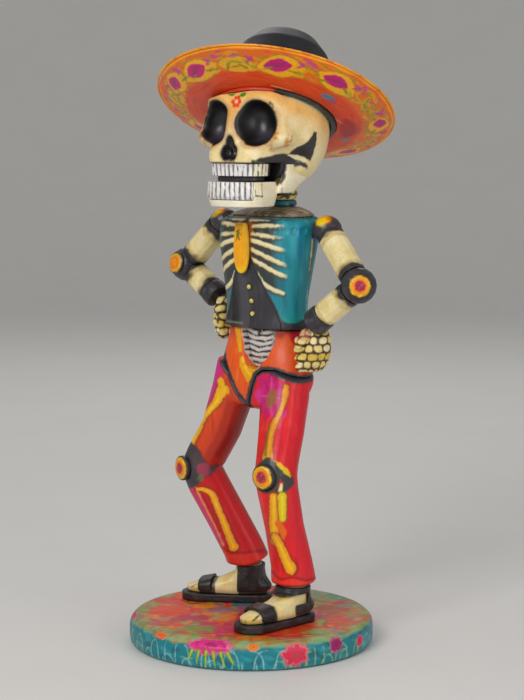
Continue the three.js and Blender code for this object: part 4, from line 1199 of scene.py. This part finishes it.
def tooth_shape(jaw, low):
    """Presses the lines between the teeth into the jaw's front."""

    def shape(at):
        head = in_head(at)
        gap, _ = tooth_gap(head, jaw)
        z = head[:, 2]
        off = head[:, :2] - (0, jaw["centre"])
        out = off / np.maximum(np.linalg.norm(off, axis=1), 1e-6)[:, None]
        rim = np.hypot(off[:, 0] / jaw["wide"], off[:, 1] / jaw["deep"]) > 0.8
        press = 0.75 * step(gap, 0.95, 0.1) * step(z, low - 0.6, low + 0.8) * rim * (off[:, 1] < 2)
        head[:, :2] -= out * press[:, None]
        return head @ HEAD.T + NECK

    return shape


def teeth_paint(jaw, root):
    """White teeth with dark roots and lines between. root is the end where the gum is."""

    @painted("#ece9e4", in_head)
    def paint(p):
        gap, which = tooth_gap(p.at, jaw)
        z = p.at[:, 2]
        depth = np.abs(z - root)
        uneven = 0.4 * ripple(p.at, 3, 4)
        p.lay(step(gap + 0.45 * uneven, 0.85, 0.25), "#625a5e", 0.92)
        # Painted shade: grey beside the lines between teeth, towards the root.
        p.lay(step(gap, 1.5, 0.7) * step(depth, 5, 0), "#857c80", 0.6)
        p.lay(step(depth + 1.2 * np.sin(which * 9.1), 2.2, 0.4), "#9b9398", 0.45)
        p.vary((2.4, 2.4, 5), 6, 0.3, 0.9, "#ffffff", 0.7)
        side = step(np.abs(p.at[:, 0]) + uneven, 15.6, 16.8) * step(p.at[:, 1], -51.5, -49.5)
        p.lay(side * step(gap, 0.5, 0.9), "#ece0a8", 0.75)
        p.lay(step(p.at[:, 1], -40, -38.4), "#242124")

    return paint


@painted("#f3e9cc", in_head)
def mandible_paint(p):
    x, y, z = p.at.T
    p.mottle(9, "#e9d6a0", 0.5, 0.1, 0.9, 3)
    p.lay(step(y, -52, -58) * step(z, 9, 5), "#f8f2e0", 0.7)
    inner = step(np.abs(x), 18.4, 17.2) * step(y, -47, -44) * step(z, 14.5, 16.5)
    p.lay(inner, "#2c292b")
    for flip in BOTH_HALVES:
        # One broad back tooth drawn in outline on the jaw's side.
        box = flip([(18.6, -51.7, 17), (18.8, -51.5, 9.4), (20.2, -46.9, 9.2), (20, -47, 17)])
        for a, b in zip(box, box[1:]):
            p.line([a, b], 0.9, "#4a453c", 0.7)
        p.line(flip([(20.6, -29.4, 17), (20.8, -29.6, 9), (18.4, -30.4, 2.6)]), (2, 1.6, 1),
               "#4c5157", 1.2, 0.85)
        p.line(flip([(22, -29.6, 28), (22, -30, 21), (21.4, -30.6, 17)]), (7, 5, 2.6), "#242124",
               1.2)
        p.line(flip([(24.5, -14, 26), (25, -8.5, 22), (23.5, -9, 12)]), 1.0, "#b58e50", 1.4, 0.7)
    p.lay(step(y, -28, -26) * step(np.abs(x), 16.5, 14), "#2a2728", 0.9)


mouth_paint = mottled("#2b272c", (5, "#4a434c", 0.5, 0.2, 0.9, 3), local=in_head)


@painted("#d9c67e", in_head)
def vertebra_paint(p):
    z = p.at[:, 2]
    p.lay(step(np.abs(z - 8.6) + 0.8 * ripple(p.at, 4, 3), 1.5, 0.3), "#26221f")
    p.vary((3.4, 3.4, 2.4), 5, 0.3, 0.6, "#3b3226", 0.9)
    p.lay(step(z, 12, 14), "#3a3630", 0.8)


neck_ring_paint = mottled("#2c5f73", (4, "#1c2f36", 0.8, 0.0, 0.7, 3),
                          (3, "#4f9aa8", 0.5, 0.4, 0.9, 6))


# ---- Hat, in its own frame on the skull.


def in_hat(at):
    return (at - HAT_AT) @ HAT


# The border's flowers: degrees round the brim, radius, half length, half width, and which kind.
BORDER = [
    (-104, 61, 17, 7.8, "eye"), (-77, 60.4, 12.5, 6.6, "blot"), (-51, 61, 15, 8.6, "eye"),
    (-17, 62.4, 16, 7.4, "eye"), (13, 62.4, 12, 6.9, "leafy"), (35, 65, 10.5, 6.2, "eye"),
    (57, 66, 11, 6.2, "leafy"), (80, 64, 13, 6.9, "eye"), (104, 62, 10, 6.2, "blot"),
    (128, 62, 13, 7.4, "eye"),
    (152, 63, 11, 6.4, "leafy"), (176, 62, 13, 7.1, "eye"), (-160, 61, 11, 6.2, "leafy"),
    (-145, 62, 11, 6, "blot"), (-128, 63.5, 13, 6.6, "eye"),
]


# Small dabs beside each flower: distance out from its middle, tilt and paint.
LOOSE_DABS = [
    (3.4, 40, "#c3428a"), (-2.4, -35, "#8e9a30"), (0.6, 65, "#e8a83a"),
    (5.2, -20, "#b9509a"), (-4.6, 20, "#e2b23a"),
]


@painted("#e04e2e", in_hat)
def brim_paint(p):
    x, y, _ = p.at.T
    far, turn = np.hypot(x, y), np.degrees(np.arctan2(y, x))
    rolled = np.column_stack([np.cos(np.radians(turn)) * 60, np.sin(np.radians(turn)) * 60, far])
    p.lay(step(ripple(rolled, (22, 22, 4), 3), 0, 0.9), "#e8603a", 0.6)
    p.lay(step(ripple(rolled, (16, 16, 3), 8), 0.3, 1.0), "#c23c28", 0.5)
    p.lay(step(far, 48, 42), "#b8321f", 0.4)
    p.lay(step(far + ripple(rolled, 9, 6), 53, 57), "#ea7a2c", 0.75)
    p.lay(step(far, 67, 71), "#ef6f34", 0.9)
    p.lay(step(far + 0.6 * ripple(rolled, 10, 5), 71.6, 72.6), "#f2a43c", 0.95)

    def across(degrees):
        """Millimetres round the brim from a direction."""
        off = np.mod(turn - degrees + 180, 360) - 180
        return np.radians(off) * far

    def dab(degrees, radius, long, wide, code, tilt=0.0, soft=0.5, strength=1.0):
        """One pointed brush dab lying along the brim."""
        u, v = across(degrees), far - radius
        c, s = math.cos(math.radians(tilt)), math.sin(math.radians(tilt))
        a, b = u * c + v * s, v * c - u * s
        gap = np.abs(b) - wide * (1 - (a / long) ** 2)
        gap = np.where(np.abs(a) < long, gap, wide + np.abs(a) - long)
        p.lay(step(gap + 1.2 * p.waver, soft, -soft), code, strength)

    # Loose pinks and ochres behind the flowers.
    zone = step(far, 54.5, 57) * step(far, 72, 70)
    p.lay(step(ripple(rolled, (7, 7, 3), 11), 0.25, 0.6) * zone, "#e0a030", 0.85)
    p.lay(step(ripple(rolled, (6, 6, 3), 15), 0.4, 0.7) * zone * step(far, 62, 66), "#d2509a", 0.75)
    p.lay(step(ripple(rolled, (5, 5, 2), 19), 0.5, 0.75) * zone, "#8d9430", 0.7)
    for k, (degrees, radius, long, wide, kind) in enumerate(BORDER):
        lean = (6, -5, 8, -9)[k % 4]
        if kind == "eye":
            dab(degrees, radius, long * 1.1, wide * 1.16, "#b08a26", lean, 0.9, 0.55)
            dab(degrees, radius, long, wide, "#f7b22c", lean)
            dab(degrees - 2, radius + 0.6, long * 0.6, wide * 0.62, "#c9387c", lean + 6)
            dab(degrees - 2, radius + 0.9, long * 0.4, wide * 0.2, "#8c3a62", lean + 14, 0.5, 0.7)
            dab(degrees + 8, radius - 2.4, 4.5, 0.8, "#6e8428", lean - 12, 0.5, 0.85)
            dab(degrees - 8, radius - 2.8, 4, 0.7, "#7f8d2c", lean + 14, 0.5, 0.8)
        elif kind == "blot":
            dab(degrees, radius, long, wide, "#e3ad2c", lean)
            for j in range(6):
                dab(degrees - 6 + 2.4 * j, radius + (-1.8, 1.6)[j % 2], 3.6, 0.8,
                    ("#8c6420", "#7d8a2c")[j % 2], 55 - 22 * j, 0.7, 0.8)
            dab(degrees, radius + wide, 4, 1.2, "#c8488c", 10, 0.6, 0.7)
        else:
            for j in range(5):
                tilt = -50 + 25 * j
                dab(degrees - 7 + 3.5 * j, radius + (1.8, -1.6)[j % 2], 4.4, 1.7, "#d8a52e", tilt,
                    0.6, 0.9)
                dab(degrees - 6.4 + 3.5 * j, radius + (1.8, -1.6)[j % 2], 3.2, 0.8, "#71882a", tilt,
                    0.5, 0.9)
        gap = degrees + (12 if kind == "eye" else 10)
        for j, (dr, tilt, code) in enumerate(LOOSE_DABS):
            dab(gap + 1.6 * (j % 3 - 1), radius + dr, 3.4, 1.0, code, tilt, 0.6, 0.8)
    dab(-13, 49, 5, 2.4, "#2a86a4", 10, 1.0, 0.95)
    dab(-7, 48.4, 3.6, 2, "#7a5c84", -20, 1.2, 0.8)
    dab(57, 49, 4.4, 2.2, "#4f7f90", 10, 1.2, 0.85)
    dab(150, 49, 3.6, 1.5, "#2f7f95", 10, 1.0, 0.8)
    dab(38, 47, 15, 5.4, "#a31410", 4, 2.4, 0.9)
    # A painted highlight: a pale pink line where the edge of the brim's sheet catches the light.
    lit_edge_line = [(27.9, -10.2, 344.7), (34.8, -1.8, 341.7), (39.5, 6.2, 337), (40.9, 17.9, 331.7),
            (37.9, 34.6, 325.1), (37.1, 53.8, 318.4)]
    light = past_line(p.figure, lit_edge_line, (1.0, 0.8, 0.5), 6)
    p.lay(step(light + 0.5 * p.waver, 0.35, -0.3), "#f2c6a0", 0.8)


@painted("#252725", in_hat)
def band_paint(p):
    x, y, z = p.at.T
    p.mottle(8, "#454a45", 0.5, 0.2, 0.9, 4)
    p.lay(step(z + 0.6 * ripple(p.at, 14, 3), 6.0, 6.8), "#c23a30", 0.9)
    turn = np.degrees(np.arctan2(y, x)) + 3 * ripple(p.at, 6, 2)
    p.lay(step(np.abs(turn + 105), 52, 46), "#c8432a")


@painted("#19171b", in_hat)
def crown_paint(p):
    p.mottle((12, 12, 8), "#27252b", 0.6, 0.0, 0.9, 3)
    p.lay(step(p.at[:, 2], 13, 9.6), "#100f12", 0.7)


rim_paint = mottled("#f0a048", (8, "#f5c05a", 0.7, 0.1, 0.8, 3), (6, "#d8602c", 0.6, 0.4, 0.9, 7),
                    local=in_hat)


# ---- Every visible piece: node, body, voxel in mm, softening rounds, slot, painter and any shape.

torso_fit, hips_fit = onto_loft(TORSO, 2.6), onto_loft(HIPS, 2.3)


def hat_round(sides):
    return true_round(sides, HAT_AT, HAT)


def drawn_in(at):
    """Rounds the rim cord and brings it in against the brim."""
    off = in_hat(hat_round(44)(at))
    off[:, :2] *= 1 - 0.25 / np.hypot(off[:, 0], off[:, 1])[:, None]
    return off @ HAT.T + HAT_AT


WORK = [
    ("base_disc", "figure", 0.62, 5, "base_paint", base_paint, true_round(48)),
    ("trouser_seat", "figure", 0.55, 12, "seat_paint", seat_paint, hips_fit),
    ("lumbar_spine", "figure", 0.45, 5, "spine_paint", lumbar_paint, lumbar_shape),
    ("right_trouser_leg", "figure", 0.6, 26, "trouser_paint", right_leg_paint, hips_fit),
    ("left_trouser_leg", "figure", 0.6, 26, "trouser_paint", left_leg_paint, hips_fit),
    ("vest_shell", "figure", 0.5, 8, "vest_paint", vest_paint, torso_fit),
    ("waistcoat_front", "figure", 0.45, 6, "waistcoat_paint", waistcoat_paint, torso_fit),
    ("collar", "figure", 0.5, 10, "collar_paint", collar_paint, torso_fit),
    ("tie", "figure", 0.3, 12, "tie_paint", tie_paint),
    ("neck_ring", "figure", 0.35, 5, "neck_ring_paint", neck_ring_paint),
    ("cranium", "head", 0.5, 3, "skull_paint", skull_paint, onto_skull),
    ("upper_teeth", "head", 0.32, 3, "tooth_paint", teeth_paint(MUZZLE, 28.5),
     tooth_shape(MUZZLE, 21)),
    ("lower_teeth", "head", 0.3, 3, "tooth_paint", teeth_paint(LOWER, 7), tooth_shape(LOWER, 7)),
    ("mandible", "head", 0.42, 12, "skull_paint", mandible_paint),
    ("mouth_core", "head", 0.4, 5, "mouth_paint", mouth_paint),
    ("neck_vertebra", "head", 0.4, 8, "skull_paint", vertebra_paint),
    ("hat_brim", "hat", 0.55, 4, "brim_paint", brim_paint, hat_round(48)),
    ("hat_sweatband", "hat", 0.5, 6, "sweatband_paint", band_paint, hat_round(40)),
    ("hat_crown", "hat", 0.7, 14, "crown_paint", crown_paint, hat_round(40)),
    ("hat_rim_cord", "hat", 0.4, 12, "rim_paint", rim_paint, drawn_in),
]
for button in ("top", "middle", "bottom"):
    WORK.append((f"vest_button_{button}", "figure", 0.2, 5, "button_paint", button_paint))
for side in ("right", "left"):
    WORK += [
        (f"{side}_sandal_sole", "figure", 0.45, 14, "sandal_paint", sandal_paint),
        (f"{side}_foot", "figure", 0.42, 10, "hand_bone_paint", foot_paint(side)),
        (f"{side}_sandal_strap", "figure", 0.4, 18, "sandal_paint", sandal_paint),
        (f"{side}_sandal_heel", "figure", 0.45, 20, "sandal_paint", sandal_paint),
        (f"{side}_kneecap", "figure", 0.3, 12, "joint_disc_paint", disc_paint(*KNEES[side], 8)),
        (f"{side}_shoulder_cap", "figure", 0.45, 14, "joint_black_paint", cap_paint(side)),
        (f"{side}_upper_arm", "figure", 0.45, 14, "arm_bone_paint",
         arm_paint(SHOULDERS[side], ELBOWS[side], 8, 10)),
        (f"{side}_elbow_joint", "figure", 0.45, 14, "joint_black_paint", elbow_paint),
        (f"{side}_elbow_disc", "figure", 0.3, 8, "joint_disc_paint",
         disc_paint(ELBOWS[side], ELBOW_FACES[side], 7.3,
                    "#9c3350" if side == "left" else "#ee9a2a")),
        (f"{side}_forearm", "figure", 0.45, 14, "arm_bone_paint",
         arm_paint(ELBOWS[side], WRISTS[side], 10, 8)),
        (f"{side}_wrist_cuff", "figure", 0.42, 12, "joint_black_paint", cuff_paint),
        (f"{side}_hand", "figure", 0.36, 4, "hand_bone_paint", hand_paint(side), hand_shape(side)),
    ]

# Each slot's roughness, coat, lumps in mm, chips, the colour under them, brush stretch and shine.
FINISHES = {
    "sandal_paint": (0.45, 0.15, 0.2, 0.3, "#6b5a4a"),
    "crown_paint": (0.46, 0.08, 0.22, 0.25, "#4d4a50", (1, 1, 5), 0.3),
    "joint_black_paint": (0.42, 0.18, 0.16, 0.3, "#8b8272"),
    "joint_disc_paint": (0.42, 0.2, 0.12, 0.4),
    "arm_bone_paint": (0.42, 0.2, 0.16, 0.3, "#b59a66", (1, 1, 1)),
    "hand_bone_paint": (0.42, 0.2, 0.16, 0.4, "#b59a66"),
    "collar_paint": (0.5, 0.08, 0.18, 0.3),
    "waistcoat_paint": (0.48, 0.1, 0.2, 0.3, "#6d6a70"),
    "vest_paint": (0.45, 0.12, 0.2, 0.35),
    "trouser_paint": (0.46, 0.14, 0.22, 0.35),
    "seat_paint": (0.46, 0.14, 0.2, 0.35),
    "skull_paint": (0.42, 0.16, 0.14, 0.2, "#b59a66", (1, 1, 1)),
    "tooth_paint": (0.38, 0.3, 0.06, 0.2, "#8a8078"),
    "mouth_paint": (0.4, 0.2, 0.1, 0.1, "#5a5258"),
    "brim_paint": (0.46, 0.14, 0.2, 0.35, "#d8cfb8", (1, 1, 1)),
    "base_paint": (0.5, 0.14, 0.28, 0.5, "#d8cfb8", (1, 1, 1)),
}
materials = {}
for node, body, voxel, rounds, slot, painter, *shape in WORK:
    piece = painter(fine_copy(node, voxel, rounds, *shape))
    if slot not in materials:
        materials[slot] = enamel(slot, *FINISHES.get(slot, ()))
    piece.data.materials.clear()
    piece.data.materials.append(materials[slot])
    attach(piece, body)
    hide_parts(node)

# What is hidden inside stays as the CAD has it, in its own materials.
steel, wood, paper = steel_wire(), turned_wood(), bare_paper()
for node in ("right_leg_wire", "left_leg_wire", "right_arm_wire", "left_arm_wire", "spine_dowel",
             "neck_peg", "ribcage"):
    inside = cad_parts[node].data.materials
    inside.clear()
    inside.append(steel if node.endswith("wire") else paper if node == "ribcage" else wood)

# ---- The stage, the light and the camera.


def floor():
    """A wide floor of plain pale card that curves up all round."""
    mesh = bpy.data.meshes.new("floor")
    bend = [(FLAT_FLOOR + FLOOR_BEND * math.sin(t), FLOOR_BEND - FLOOR_BEND * math.cos(t))
            for t in np.linspace(0, math.pi / 2, 13)]
    rings, sides = [(0.7, 0.0), *bend, (FLOOR_EDGE, 2.6)], FLOOR_SIDES
    points = [(0.0, 0.0, 0.0)]
    points += [(r * math.cos(k * math.tau / sides), r * math.sin(k * math.tau / sides), z)
               for r, z in rings for k in range(sides)]
    faces = [(0, 1 + k, 1 + (k + 1) % sides) for k in range(sides)]
    faces += [(a + k, a + sides + k, a + sides + (k + 1) % sides, a + (k + 1) % sides)
              for a in range(1, 1 + sides * (len(rings) - 1), sides) for k in range(sides)]
    mesh.from_pydata(points, [], faces)
    mesh.shade_smooth()
    ground = bpy.data.objects.new("floor", mesh)
    bpy.context.scene.collection.objects.link(ground)
    n = Nodes("floor_card")
    n.set(Base_Color=n.mix(n.noise(60), rgba("#dedcd8"), rgba("#e4e2de")), Roughness=0.75)
    mesh.materials.append(n.material)
    ground.location.z = -0.0002
    ground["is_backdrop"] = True


def soft_light(name, place, size, power):
    data = bpy.data.lights.new(name, "AREA")
    data.size, data.energy = size, power
    light = bpy.data.objects.new(name, data)
    bpy.context.scene.collection.objects.link(light)
    light.location = place
    light.rotation_euler = (Vector(LIGHT_AIM) - Vector(place)).to_track_quat("-Z", "Y").to_euler()


def camera():
    """From the figure's front left, level with its head and looking a little down."""
    data = bpy.data.cameras.new("camera")
    data.sensor_fit, data.sensor_height, data.lens = "VERTICAL", 36, LENS
    data.clip_start, data.clip_end = 0.05, 50
    eye = bpy.data.objects.new("camera", data)
    bpy.context.scene.collection.objects.link(eye)
    out = Vector((math.sqrt(0.5), -math.sqrt(0.5), 0))
    eye.location = out * CAMERA_DISTANCE + Vector((0, 0, CAMERA_HEIGHT))
    aim = -out
    aim.rotate(Matrix.Rotation(-math.radians(CAMERA_PAN), 3, "Z"))
    tilt = math.radians(CAMERA_PITCH)
    aim = aim * math.cos(tilt) - Vector((0, 0, math.sin(tilt)))
    eye.rotation_euler = aim.to_track_quat("-Z", "Y").to_euler()
    bpy.context.scene.camera = eye


floor()
soft_light("key", (0.35, -1.35, 1.0), 0.7, 12.5)
soft_light("fill", (1.5, -0.1, 0.55), 0.9, 6)
soft_light("back", (-0.9, 0.9, 1.1), 0.8, 3)
world = bpy.data.worlds.new("studio")
world.use_nodes = True
world.node_tree.nodes["Background"].inputs["Color"].default_value = (0.9, 0.91, 0.93, 1)
world.node_tree.nodes["Background"].inputs["Strength"].default_value = 0.45
bpy.context.scene.world = world
bpy.context.scene.view_settings.view_transform = "Standard"
camera()

plain = lambda box: [[round(v, 6) for v in corner] for corner in box]
{"cad": plain(CAD_BOX), "visual": plain(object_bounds())}
